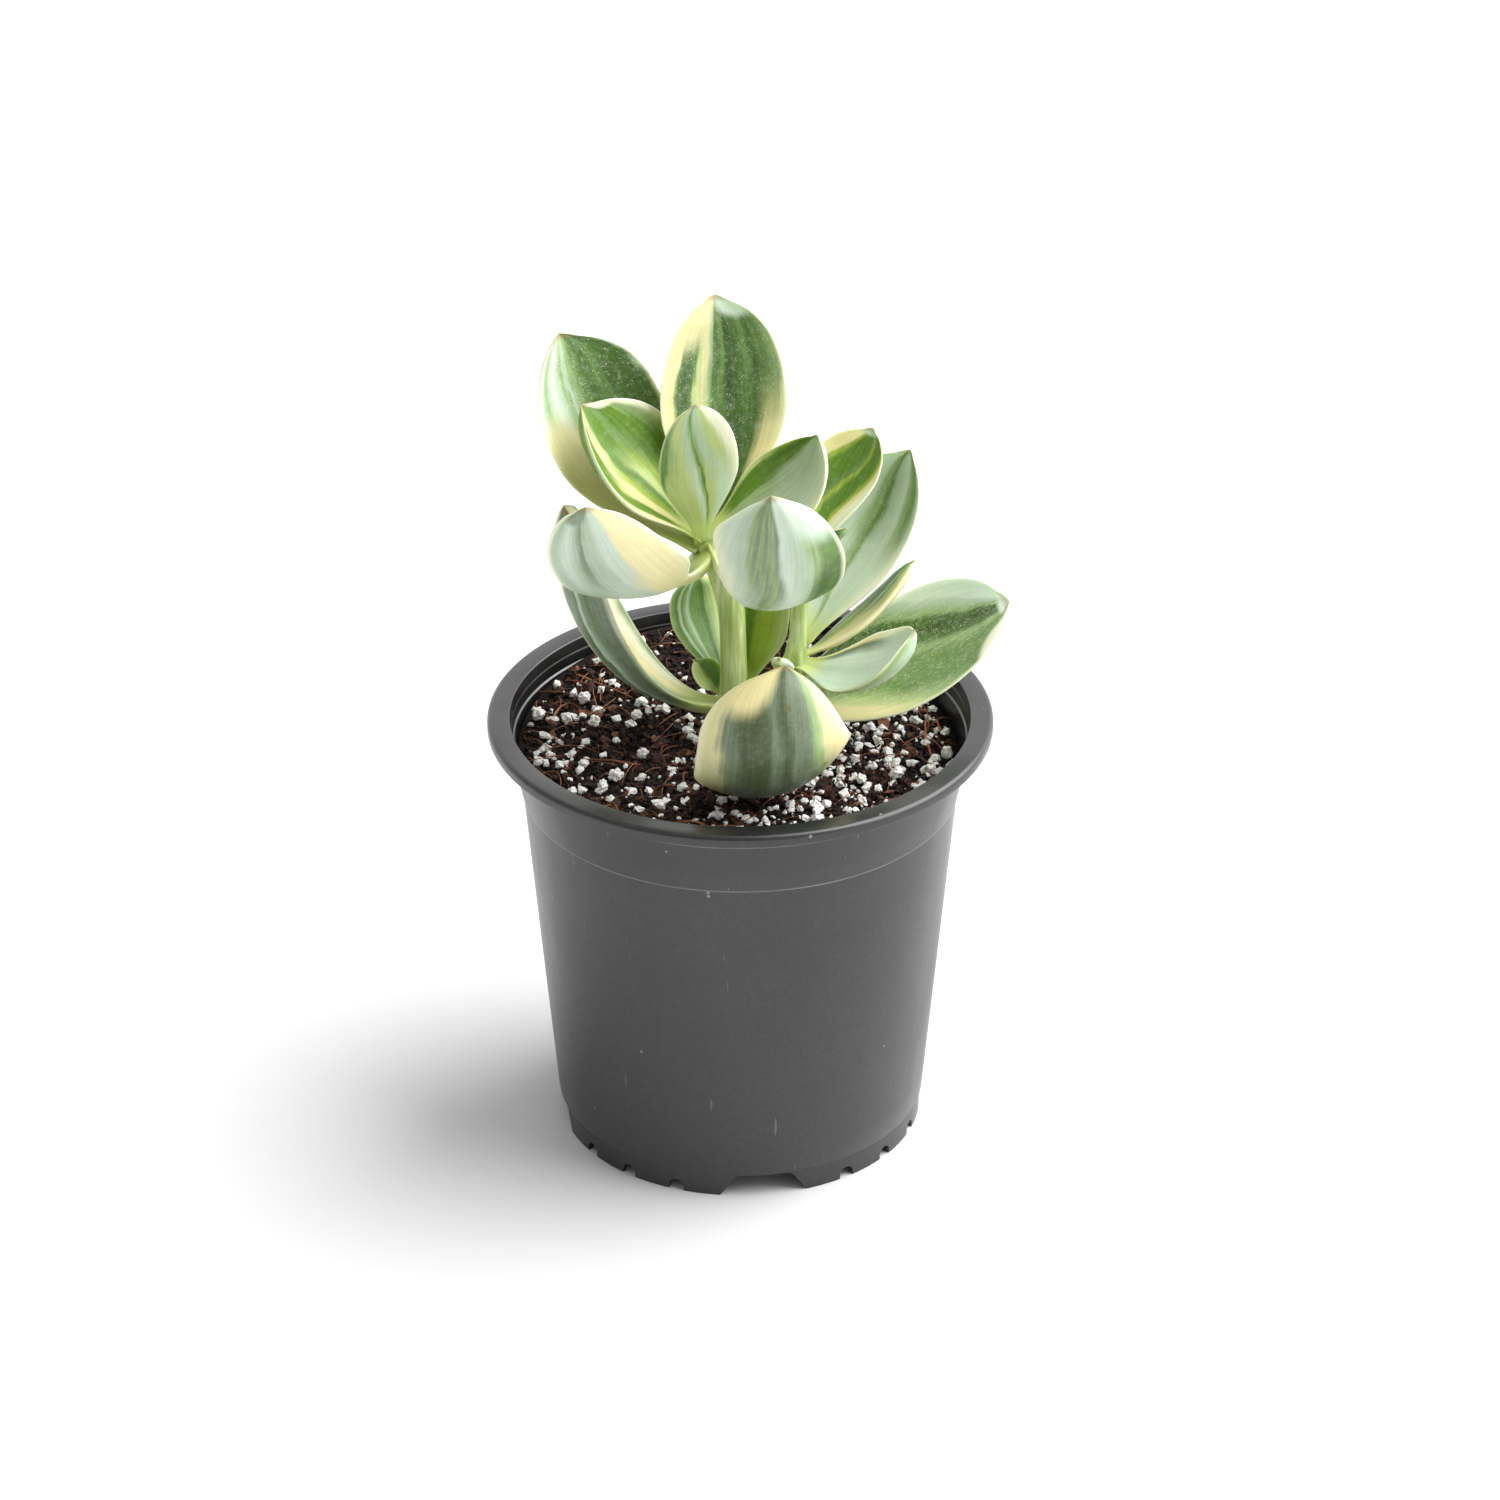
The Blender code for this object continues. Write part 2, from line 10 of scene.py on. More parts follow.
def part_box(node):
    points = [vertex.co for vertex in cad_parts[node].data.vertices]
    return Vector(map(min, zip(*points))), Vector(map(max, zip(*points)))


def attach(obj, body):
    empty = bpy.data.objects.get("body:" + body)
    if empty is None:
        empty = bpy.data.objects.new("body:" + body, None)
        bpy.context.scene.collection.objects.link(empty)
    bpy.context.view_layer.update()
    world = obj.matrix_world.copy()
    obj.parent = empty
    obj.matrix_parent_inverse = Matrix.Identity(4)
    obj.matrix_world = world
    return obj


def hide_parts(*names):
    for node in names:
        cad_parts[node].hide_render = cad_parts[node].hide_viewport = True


MM = 0.001
TAU = 2 * math.pi

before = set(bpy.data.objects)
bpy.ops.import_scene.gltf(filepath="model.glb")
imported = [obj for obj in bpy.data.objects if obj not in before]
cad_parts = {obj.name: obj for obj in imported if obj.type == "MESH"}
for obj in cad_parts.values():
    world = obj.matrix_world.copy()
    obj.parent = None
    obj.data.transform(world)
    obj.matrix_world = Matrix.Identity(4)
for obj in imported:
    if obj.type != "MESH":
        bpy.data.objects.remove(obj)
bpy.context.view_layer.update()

# --- where the frame stands -------------------------------------------------------------------
pot_low, pot_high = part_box("nursery_pot")
AXIS = np.array([(pot_low.x + pot_high.x) / 2, (pot_low.y + pot_high.y) / 2, 0.0])
POT_HEIGHT = pot_high.z
RIM_RADIUS = (pot_high.x - pot_low.x) / 2
SOIL_BELOW_RIM = 7.6 * MM
SOIL_LEVEL = POT_HEIGHT - SOIL_BELOW_RIM

# --- pot sizes --------------------------------------------------------------------------------
WALL = 1.1 * MM
LIP_HEIGHT = 2.6 * MM
LIP_OVERHANG = 4.1 * MM
RIM_ROUND = 1.04 * MM
UNDER_ROUND = 0.4 * MM
BORE_ROUND = 0.35 * MM
EDGE_ROUND = 0.12 * MM
BODY_TAPER = 0.088
SHOULDER_BELOW_RIM = 17.1 * MM
SHOULDER_STEP = 0.2 * MM
COLLAR_DRAFT = 0.210
LEDGE_BELOW_RIM = 5.1 * MM
LEDGE_STEP = 0.3 * MM
FOOT_HEIGHT = 5.6 * MM
FOOT_INSET = 0.5 * MM
FLOOR_THICKNESS = 1.2 * MM
FLOOR_UNDERSIDE = FOOT_HEIGHT - 0.3 * FLOOR_THICKNESS
FOOT_TURN = math.radians(-82.5)
WIDE_GAP_TOP = 12.0 * MM
WIDE_GAP_BOTTOM = 19.0 * MM
NOTCH_RADIUS = 1.7 * MM
NOTCH_HEIGHT = 2.6 * MM
NOTCH_ANGLES = (28, 45, 62)
POT_SIDES = 160
SHARP_FROM = math.radians(38)

# --- soil sizes -------------------------------------------------------------------------------
SOIL_FALL_RIGHT = 2.0 * MM
SOIL_RISE_BACK = 2.5 * MM
HOLLOW_DEPTH = 1.6 * MM
HOLLOW_AT = (-21 * MM, -1 * MM)
HOLLOW_RADIUS = 7.0 * MM
SOIL_GAP = 0.3 * MM
SOIL_RINGS = 62
SOIL_SIDES = 200
GROUND_STEPS = 90
CLEAR_OF_WALL = 1.2 * MM
# Where loose pieces lie, in millimetres from the pot's axis.
STEM_FEET = (-0.7, 2.5)
CLEAR_OF_STEM = 5.0
BARE_AT, BARE_RADIUS = (-22.0, -2.0), 10.0
THICK_PAST_X = 12.0
THIN_PAST_Y = 22.0

# --- leaf and stem sizes ----------------------------------------------------------------------
LEAF_THICKNESS = 2.8
STEM_RADIUS = 3.2
STALK_SHARE = 0.19
TIP_FROM = 0.99
MUCRO = 0.9
LEAF_ROWS = 60
LEAF_TURNS = 44
ROW_CROWDING = 1.7
SPINE_STEPS = 64
EDGE_WAVER = 0.035
DIMPLES = 0.22
GROOVE_REACH, GROOVE_DEPTH = 0.22, 0.16

# Stem centre lines: x, y, height above the soil in millimetres, and the share of the stem radius.
STEMS = {
    "main": (
        (-0.7, 0.0, -11.0, 1.00), (-0.7, 0.0, 0.0, 1.00), (-1.3, 0.0, 10.5, 0.95),
        (-1.4, 0.0, 21.0, 0.88), (-1.9, 0.0, 32.1, 0.88), (-3.5, 0.0, 39.0, 0.86),
        (-5.6, 0.0, 44.5, 0.84), (-7.4, 0.0, 48.5, 0.72), (-7.8, 0.0, 50.8, 0.38),
    ),
    "side": (
        (2.4, 0.0, 13.2, 0.68), (6.6, 0.0, 14.8, 0.68), (10.3, 0.0, 17.6, 0.72),
        (11.6, 0.0, 20.0, 0.72), (12.2, 0.2, 25.5, 0.59), (12.5, 0.4, 31.5, 0.56),
        (14.0, 1.5, 41.5, 0.53), (15.0, 2.5, 45.5, 0.38),
    ),
}

# A leaf's foot stands off its stem by the gap, less the sink, and by more the steeper it rises. Its
# root reaches back into the stem. All are in millimetres.
STALK_GAP = 0.4
STALK_SINK = 0.5
STEEP_SHARE = 0.45
ROOT_REACH = 1.6
# A leaf's trim rounds off one upper corner, between these two shares of its length.
TRIMS = {"base_leaf_front": 0.33}
TRIM_FROM, TRIM_TO = 0.42, 0.95
# The stalks that are deeper or broader than the rest, and how far up the neck stays narrow.
STALK_DEPTH = 0.55
STALK_DEPTHS = {"crown_leaf_front_left": 1.35, "crown_leaf_back_left": 1.1, "crown_leaf_front": 0.9,
                "base_leaf_left": 0.9}
STALK_WIDTHS = {"crown_leaf_front_left": 0.34, "crown_leaf_front": 0.22}
NECKS = {"crown_leaf_front_left": 0.14}

# Each leaf: its stem, the height of its joint, and these. Lengths are in millimetres, angles in degrees.
LEAF_COLUMNS = ("Heading", "Rise", "Tip rise", "Length", "Width", "Cup", "Bend power", "Sweep", "Roll",
                "Widest", "Bluntness", "Thickness share")
LEAF_ANGLES = ("Heading", "Rise", "Tip rise", "Sweep", "Roll")
LEAVES = {
    "crown_leaf_back_tall": ("main", 45.6, 85, 60, 77, 52.0, 27.5, 0.50, 1.9, 9, 15, 0.57, 2.3, 1.0),
    "crown_leaf_back_left": ("main", 47.4, 157, 24, 85, 54.5, 30.5, 0.50, 1.0, 5, -28, 0.60, 2.8, 1.0),
    "crown_leaf_front_left": ("main", 45.0, 234, -30, 73, 56.0, 27.0, 0.15, 0.6, 5, 30, 0.51, 2.2, 1.0),
    "crown_leaf_front": ("main", 45.8, -68, -22, 110, 57.0, 28.0, 0.55, 1.1, -7, -31, 0.64, 2.0, 1.0),
    "crown_leaf_inner_left": ("main", 50.4, 181, 39, 77, 37.5, 29.4, 0.49, 2.1, -3, -20, 0.56, 1.95, 0.85),
    "crown_leaf_inner_right": ("main", 50.4, 1, 24, 100, 33.5, 23.5, 0.20, 2.6, -2, 26, 0.45, 2.0, 0.85),
    "crown_leaf_young_front": ("main", 50.2, -98, 75, 76, 35.5, 17.0, -0.08, 0.7, 2, 22, 0.55, 2.1, 0.7),
    "crown_leaf_young_back": ("main", 50.4, 78, 84, 92, 27.0, 11.0, 0.20, 1.0, 0, 8, 0.55, 2.1, 0.6),
    "base_leaf_left": ("main", 8.7, 181, -6, 98, 65.0, 27.0, 0.56, 0.7, 3, 5, 0.55, 3.0, 1.0),
    "base_leaf_right": ("main", 7.8, 7, -5, 43, 61.0, 34.0, 0.25, 0.7, -5, 15, 0.60, 2.5, 1.0),
    "base_leaf_front": ("main", 8.9, -70, -28, 150, 66.0, 36.0, 0.38, 1.47, -15, 10, 0.61, 3.3, 1.0),
    "base_leaf_back": ("main", 11.6, 57, 72, 91, 30.0, 17.0, 0.10, 2.4, 2, 2, 0.50, 3.8, 0.8),
    "base_leaf_back_left": ("main", 12.6, 113, 23, 98, 26.5, 14.5, 0.0, 2.0, 1, 3, 0.65, 2.9, 0.8),
    "base_leaf_small_left": ("main", 11.8, 162, 46, 60, 8.5, 8.0, 0.40, 2.3, -3, -18, 0.50, 2.2, 0.6),
    "side_leaf_back_right": ("side", 23.4, 49, 31, 83, 48.0, 24.0, 0.60, 2.3, -10, 5, 0.48, 3.0, 0.9),
    "side_leaf_front_right": ("side", 19.6, -36, 0, 82, 35.0, 20.0, 0.39, 1.75, 6, 16, 0.50, 2.1, 0.85),
    "side_leaf_right": ("side", 21.0, 34, -6, 52, 31.5, 9.5, 0.11, 0.6, -13, -14, 0.47, 2.0, 1.0),
    "side_leaf_upper": ("side", 44.9, 54, 33, 65, 28.5, 18.0, 0.60, 1.9, -1, -2, 0.60, 2.0, 0.8),
    "side_leaf_tiny": ("side", 43.4, -23, 52, 54, 10.5, 5.3, 0.40, 2.6, -2, -26, 0.50, 3.2, 0.45),
    "side_shoot_bud": ("side", 18.9, -114, 30, 68, 6.2, 5.2, 0.20, 1.0, 0, 0, 0.50, 2.6, 0.8),
}
YOUNG = {
    "crown_leaf_inner_left", "crown_leaf_inner_right", "crown_leaf_young_front", "crown_leaf_young_back",
    "base_leaf_back", "base_leaf_small_left", "side_leaf_right", "side_leaf_upper", "side_leaf_tiny",
    "side_shoot_bud",
}


# --- node writing -----------------------------------------------------------------------------
class Wire:
    """A value in a node tree. Arithmetic on it adds the matching maths nodes."""

    def __init__(self, tree, socket):
        self.tree = tree
        self.socket = socket

    def __add__(self, other):
        return number(self.tree, "ADD", self, other)

    def __radd__(self, other):
        return number(self.tree, "ADD", other, self)

    def __sub__(self, other):
        return number(self.tree, "SUBTRACT", self, other)

    def __rsub__(self, other):
        return number(self.tree, "SUBTRACT", other, self)

    def __mul__(self, other):
        return number(self.tree, "MULTIPLY", self, other)

    def __rmul__(self, other):
        return number(self.tree, "MULTIPLY", other, self)

    def __truediv__(self, other):
        return number(self.tree, "DIVIDE", self, other)

    def __pow__(self, other):
        return number(self.tree, "POWER", self, other)


def plug(tree, socket, value):
    """Links a wire into a socket, or sets the socket to a plain value."""
    if isinstance(value, Wire):
        tree.links.new(value.socket, socket)
    else:
        socket.default_value = value


def add(tree, kind, plugs=None, **settings):
    """Adds one node with its settings, then its inputs."""
    made = tree.nodes.new(kind)
    for key, value in settings.items():
        setattr(made, key, value)
    for key, value in (plugs or {}).items():
        plug(tree, made.inputs[key], value)
    return made


def out(made, key=0):
    return Wire(made.id_data, made.outputs[key])


def number(tree, operation, *terms):
    return out(add(tree, "ShaderNodeMath", dict(enumerate(terms)), operation=operation))


def vector(tree, operation, *terms):
    made = add(tree, "ShaderNodeVectorMath", operation=operation)
    for socket, term in zip(made.inputs, terms):
        plug(tree, socket, term)
    return out(made)


def scaled(tree, arrow, amount):
    return out(add(tree, "ShaderNodeVectorMath", {"Vector": arrow, "Scale": amount}, operation="SCALE"))


def combine(tree, x, y, z):
    return out(add(tree, "ShaderNodeCombineXYZ", {"X": x, "Y": y, "Z": z}))


def split(tree, arrow):
    made = add(tree, "ShaderNodeSeparateXYZ", {0: arrow})
    return out(made, "X"), out(made, "Y"), out(made, "Z")


def ease(tree, value, low, high, at_low=0.0, at_high=1.0):
    """A smooth step from at_low to at_high as the value goes from low to high."""
    plugs = {"Value": value, "From Min": low, "From Max": high, "To Min": at_low, "To Max": at_high}
    return out(add(tree, "ShaderNodeMapRange", plugs, interpolation_type="SMOOTHSTEP"))


def cloud(tree, place, scale, detail=2.0, roughness=0.5):
    plugs = {"Vector": place, "Scale": scale, "Detail": detail, "Roughness": roughness}
    return out(add(tree, "ShaderNodeTexNoise", plugs))


def new_tree(name, sizes):
    """An empty geometry tree with the named inputs and one geometry output."""
    tree = bpy.data.node_groups.new(name, "GeometryNodeTree")
    tree.interface.new_socket("Geometry", in_out="INPUT", socket_type="NodeSocketGeometry")
    tree.interface.new_socket("Geometry", in_out="OUTPUT", socket_type="NodeSocketGeometry")
    for label, kind, value in sizes:
        socket = tree.interface.new_socket(label, in_out="INPUT", socket_type="NodeSocket" + kind)
        if value is not None:
            socket.default_value = value
    return tree, tree.nodes.new("NodeGroupInput"), tree.nodes.new("NodeGroupOutput")


def finish_tree(tree, ending, shape, skin):
    """Ends a tree with plain faces and its material."""
    plain = add(tree, "GeometryNodeRealizeInstances", {"Geometry": shape})
    dressed = add(tree, "GeometryNodeSetMaterial", {"Geometry": out(plain), "Material": skin})
    plug(tree, ending.inputs[0], out(dressed))


def new_object(name, data):
    obj = bpy.data.objects.new(name, data)
    bpy.context.scene.collection.objects.link(obj)
    return obj


def grown(name, tree, sizes, start=None):
    """The plain mesh that a tree makes from its sizes, as a new object."""
    holder = new_object(name + "_holder", start or bpy.data.meshes.new(name + "_start"))
    maker = holder.modifiers.new("maker", "NODES")
    maker.node_group = tree
    for item in tree.interface.items_tree:
        if item.in_out == "INPUT" and item.name in sizes:
            maker[item.identifier] = sizes[item.name]
    graph = bpy.context.evaluated_depsgraph_get()
    mesh = bpy.data.meshes.new_from_object(holder.evaluated_get(graph))
    bpy.data.objects.remove(holder)
    mesh.name = name
    return new_object(name, mesh)


def face_outwards(mesh):
    """Closes seams and turns every face of a closed body outwards."""
    shell = bmesh.new()
    shell.from_mesh(mesh)
    bmesh.ops.remove_doubles(shell, verts=shell.verts, dist=1e-6)
    bmesh.ops.dissolve_degenerate(shell, edges=shell.edges, dist=1e-7)
    bmesh.ops.recalc_face_normals(shell, faces=shell.faces)
    if shell.calc_volume(signed=True) < 0:
        bmesh.ops.reverse_faces(shell, faces=shell.faces)
    shell.to_mesh(mesh)
    shell.free()


def solid(name, points, faces, skin, smooth=True):
    """A closed body as an object at the origin, its place in its mesh."""
    mesh = bpy.data.meshes.new(name)
    mesh.from_pydata([tuple(p) for p in points], [], faces)
    mesh.validate()
    face_outwards(mesh)
    if smooth:
        mesh.shade_smooth()
    mesh.materials.append(skin)
    return new_object(name, mesh)


def closed_rings(rings, start=None, end=None):
    """Points and faces of a closed body through rings of equal count, with a fan at each end."""
    count = len(rings[0])
    points = [p for ring in rings for p in ring]
    faces = []
    for k in range(len(rings) - 1):
        low, high = k * count, (k + 1) * count
        for i in range(count):
            j = (i + 1) % count
            faces.append((low + i, low + j, high + j, high + i))
    for centre, first in ((start, 0), (end, (len(rings) - 1) * count)):
        tip = len(points)
        points.append(np.mean(rings[first // count], axis=0) if centre is None else centre)
        for i in range(count):
            faces.append((first + i, first + (i + 1) % count, tip))
    return points, faces


def settle(piece, slot, *nodes):
    """Puts a piece on the root body in place of its CAD nodes. Its slot is not used."""
    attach(piece, "root")
    if nodes:
        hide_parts(*nodes)


# --- colours ----------------------------------------------------------------------------------
def colour(red, green, blue):
    """A display colour of 0 to 255 as linear light."""
    parts = [part / 255 for part in (red, green, blue)]
    parts = [p / 12.92 if p <= 0.04045 else ((p + 0.055) / 1.055) ** 2.4 for p in parts]
    return (*parts, 1.0)


PAINT = {
    "deep": colour(60, 90, 28),
    "forest": colour(78, 112, 44),
    "mid": colour(106, 140, 70),
    "sage": colour(150, 175, 118),
    "grey": colour(180, 200, 174),
    "frost": colour(208, 223, 204),
    "soft": colour(190, 204, 134),
    "cream": colour(234, 222, 164),
    "custard": colour(216, 211, 158),
    "butter": colour(248, 237, 186),
    "ivory": colour(245, 243, 218),
    "lime": colour(156, 180, 58),
    "vivid": colour(92, 132, 16),
    "stalk": colour(200, 212, 130),
    "slate": colour(112, 128, 100),
    "pewter": colour(138, 156, 128),
    # Partly painted shade, used on the low front leaf's downward face.
    "moss": colour(76, 90, 54),
    "olive": colour(104, 106, 62),
}


def new_skin(name):
    """A material with its node tree, its main shader and its object coordinates."""
    skin = bpy.data.materials.new(name)
    skin.use_nodes = True
    tree = skin.node_tree
    shader = tree.nodes["Principled BSDF"]
    return skin, tree, shader, out(tree.nodes.new("ShaderNodeTexCoord"), "Object")


def blend(tree, share, first, second, mode="MIX"):
    made = add(tree, "ShaderNodeMix", data_type="RGBA", blend_type=mode)
    plug(tree, made.inputs["Factor"], share)
    plug(tree, made.inputs[6], first)
    plug(tree, made.inputs[7], second)
    return out(made, 2)


def ramp(tree, value, stops, interpolation="EASE"):
    made = add(tree, "ShaderNodeValToRGB", {"Fac": value})
    row = made.color_ramp
    row.interpolation = interpolation
    while len(row.elements) < len(stops):
        row.elements.new(0.5)
    for element, (place, tint) in zip(row.elements, stops):
        element.position = place
        element.color = PAINT[tint] if isinstance(tint, str) else tint
    return out(made, "Color")


def dress(tree, shader, looks):
    """Links or sets inputs of the main shader by their names."""
    for name, value in looks.items():
        plug(tree, shader.inputs[name], value)


def bumps(tree, height, strength, depth):
    return out(add(tree, "ShaderNodeBump", {"Height": height, "Strength": strength, "Distance": depth}))


# --- leaf shape -------------------------------------------------------------------------------
LEAF_SIZES = (
    ("Foot", "Vector", (0, 0, 0)), ("Heading", "Float", 0.0), ("Rise", "Float", 0.5),
    ("Tip rise", "Float", 1.2), ("Length", "Float", 0.05), ("Width", "Float", 0.02),
    ("Cup", "Float", 0.3), ("Bend power", "Float", 1.0), ("Sweep", "Float", 0.0),
    ("Roll", "Float", 0.0), ("Widest", "Float", 0.5), ("Bluntness", "Float", 2.0),
    ("Thickness", "Float", 0.002), ("Mucro", "Float", 0.001), ("Trim", "Float", 0.0),
    ("Stalk depth", "Float", 0.5), ("Stalk width", "Float", STALK_SHARE), ("Root reach", "Float", 0.0),
    ("Neck", "Float", 0.0), ("Skin", "Material", None),
)


def leaf_directions(tree, size, share):
    """The leaf's way along and its way sideways at a share of its length."""
    rise = size["Rise"] + (size["Tip rise"] - size["Rise"]) * share ** size["Bend power"]
    heading = size["Heading"] + size["Sweep"] * share
    sine, cosine = number(tree, "SINE", heading), number(tree, "COSINE", heading)
    flat, up = number(tree, "COSINE", rise), number(tree, "SINE", rise)
    return combine(tree, cosine * flat, sine * flat, up), combine(tree, sine * -1.0, cosine, 0.0)


def leaf_midrib(tree, size):
    """The leaf's middle line, laid stride by stride from its foot."""
    index = out(tree.nodes.new("GeometryNodeInputIndex"))
    past_foot = number(tree, "GREATER_THAN", index, 0.5)
    middle = number(tree, "MAXIMUM", (index - 0.5) / SPINE_STEPS, 0.0)
    along = leaf_directions(tree, size, middle)[0]
    walk = add(tree, "GeometryNodeAccumulateField", data_type="FLOAT_VECTOR")
    plug(tree, walk.inputs[0], scaled(tree, along, size["Length"] / SPINE_STEPS * past_foot))
    line = add(tree, "GeometryNodeMeshLine", {"Count": SPINE_STEPS + 1, "Offset": (0, 0, 0)})
    place = vector(tree, "ADD", size["Foot"], out(walk, "Leading"))
    spine = add(tree, "GeometryNodeSetPosition", {"Geometry": out(line), "Position": place})
    return out(add(tree, "GeometryNodeMeshToCurve", {"Mesh": out(spine)}))


def leaf_sheet(tree):
    """A flat sheet to wrap round the leaf, and where each of its points comes to lie.

    Those are the share of the leaf's length, across from -1 to 1, over from -1 below to 1 above,
    and whether the point is past the foot's closed end.
    """
    sheet = add(tree, "GeometryNodeMeshGrid", {"Size X": 1.0, "Size Y": 1.0})
    sheet.inputs["Vertices X"].default_value = LEAF_ROWS + 1
    sheet.inputs["Vertices Y"].default_value = LEAF_TURNS + 1
    x, y, _ = split(tree, out(tree.nodes.new("GeometryNodeInputPosition")))
    row = (x + 0.5) * LEAF_ROWS
    is_open = number(tree, "GREATER_THAN", row, 0.5)
    even = number(tree, "MAXIMUM", (row - 1.0) / (LEAF_ROWS - 1.0), 0.0)
    share = 1.0 - (1.0 - even) ** ROW_CROWDING
    turn = (y + 0.5) * TAU
    across, over = number(tree, "COSINE", turn), number(tree, "SINE", turn)
    shape = out(sheet)
    for label, value in (("leaf_along", share), ("leaf_across", across), ("leaf_over", over)):
        store = add(tree, "GeometryNodeStoreNamedAttribute", {"Geometry": shape, "Name": label})
        plug(tree, store.inputs["Value"], value)
        shape = out(store)
    store = add(tree, "GeometryNodeStoreNamedAttribute", {"Geometry": shape, "Name": "UVMap"})
    store.data_type, store.domain = "FLOAT2", "CORNER"
    plug(tree, store.inputs["Value"], out(sheet, "UV Map"))
    return out(store), share, across, over, is_open


def leaf_fill(tree, size, body):
    """How much of its full width the leaf has at a share of its length."""
    past_neck = number(tree, "MAXIMUM", body - size["Neck"], 0.0)
    swell = number(tree, "MINIMUM", past_neck / (size["Widest"] - size["Neck"]), 1.0)
    swell = swell * swell * (3.0 - 2.0 * swell)
    lower = size["Stalk width"] + (1.0 - size["Stalk width"]) * swell ** 0.9
    past = number(tree, "MAXIMUM", (body - size["Widest"]) / (1.0 - size["Widest"]), 0.0)
    upper = number(tree, "SQRT", 1.0 - past ** size["Bluntness"])
    return number(tree, "MINIMUM", lower, upper)


def leaf_tree():
    """A fleshy leaf: a spine that bends as it rises, and a lens-shaped section swept along it."""
    tree, given, ending = new_tree("fleshy_leaf", LEAF_SIZES)
    size = {label: out(given, label) for label, _, _ in LEAF_SIZES}
    midrib = leaf_midrib(tree, size)
    shape, share, across, over, is_open = leaf_sheet(tree)

    body = number(tree, "MINIMUM", share, TIP_FROM)
    point = number(tree, "MAXIMUM", (share - TIP_FROM) / (1.0 - TIP_FROM), 0.0)
    fill = leaf_fill(tree, size, body)
    narrowing = (1.0 - point) ** 0.8 * is_open
    seat = combine(tree, share * 3.1, across * 0.8, size["Heading"] * 7.0)
    waver = (cloud(tree, seat, 2.3, 2.0) - 0.5) * ease(tree, share, 0.15, 0.5) * EDGE_WAVER
    right_side = number(tree, "MAXIMUM", across, 0.0)
    trimmed = 1.0 - size["Trim"] * ease(tree, share, TRIM_FROM, TRIM_TO) * right_side
    half = size["Width"] / 2.0 * fill * narrowing * (1.0 + waver) * trimmed

    near_stalk = ease(tree, share, 0.30, 0.04) * size["Stalk depth"]
    fullness = number(tree, "MAXIMUM", number(tree, "MINIMUM", 1.5 * fill, 1.0), near_stalk)
    dimple = (cloud(tree, vector(tree, "ADD", seat, (5.0, 2.0, 1.0)), 3.4, 2.0) - 0.5) * DIMPLES
    off_middle = number(tree, "ABSOLUTE", across)
    groove = number(tree, "MAXIMUM", over, 0.0) * ease(tree, off_middle, 0.0, GROOVE_REACH, GROOVE_DEPTH, 0.0)
    thick = size["Thickness"] / 2.0 * fullness * narrowing
    lift = size["Cup"] * half * across * across + thick * over * (1.0 + dimple - groove)

    along, side = leaf_directions(tree, size, share)
    face = vector(tree, "CROSS_PRODUCT", along, side)
    sine, cosine = number(tree, "SINE", size["Roll"]), number(tree, "COSINE", size["Roll"])
    out_side = vector(tree, "ADD", scaled(tree, side, cosine), scaled(tree, face, sine))
    out_face = vector(tree, "SUBTRACT", scaled(tree, face, cosine), scaled(tree, side, sine))
    on_spine = add(tree, "GeometryNodeSampleCurve", {"Curves": midrib}, mode="FACTOR")
    on_spine.use_all_curves = True
    plug(tree, on_spine.inputs["Factor"], share)
    stretch = size["Mucro"] * point - size["Root reach"] * ease(tree, share, 0.05, 0.0)
    place = vector(tree, "ADD", out(on_spine, "Position"), scaled(tree, along, stretch))
    place = vector(tree, "ADD", place, scaled(tree, out_side, half * across))
    place = vector(tree, "ADD", place, scaled(tree, out_face, lift))
    placed = add(tree, "GeometryNodeSetPosition", {"Geometry": shape, "Position": place})
    closed = add(tree, "GeometryNodeMergeByDistance", {"Geometry": out(placed), "Distance": 2e-6})
    smooth = add(tree, "GeometryNodeSetShadeSmooth", {"Geometry": out(closed)})
    finish_tree(tree, ending, out(smooth), size["Skin"])
    return tree


def stem_at(stem, height):
    """Centre and radius of a stem at a height above the soil, in millimetres."""
    table = np.array(STEMS[stem])
    x, y, share = (np.interp(height, table[:, 2], table[:, k]) for k in (0, 1, 3))
    return np.array([x, y, height]), share * STEM_RADIUS


def make_leaf(tree, name, skin):
    stem, height, *values = LEAVES[name]
    row = dict(zip(LEAF_COLUMNS, values))
    heading, rise, thick = row["Heading"], row["Rise"], row.pop("Thickness share")
    centre, radius = stem_at(stem, height)
    steepness = abs(math.sin(math.radians(rise)))
    stand_off = radius - STALK_SINK + STALK_GAP + STEEP_SHARE * LEAF_THICKNESS * thick * steepness
    flat = np.array([math.cos(math.radians(heading)), math.sin(math.radians(heading)), 0.0])
    foot = (centre + flat * stand_off) * MM + AXIS + np.array([0, 0, SOIL_LEVEL])
    units = {"Length": MM, "Width": MM} | dict.fromkeys(LEAF_ANGLES, math.radians(1))
    sizes = {key: value * units.get(key, 1) for key, value in row.items()}
    sizes |= {
        "Foot": foot.tolist(), "Thickness": LEAF_THICKNESS * thick * MM, "Mucro": MUCRO * thick * MM,
        "Trim": TRIMS.get(name, 0.0), "Stalk depth": STALK_DEPTHS.get(name, STALK_DEPTH),
        "Stalk width": STALK_WIDTHS.get(name, STALK_SHARE), "Neck": NECKS.get(name, 0.0),
        "Root reach": ROOT_REACH * MM, "Skin": skin,
    }
    leaf = grown(name.replace("leaf", "blade").replace("bud", "young_blade"), tree, sizes)
    face_outwards(leaf.data)
    return leaf


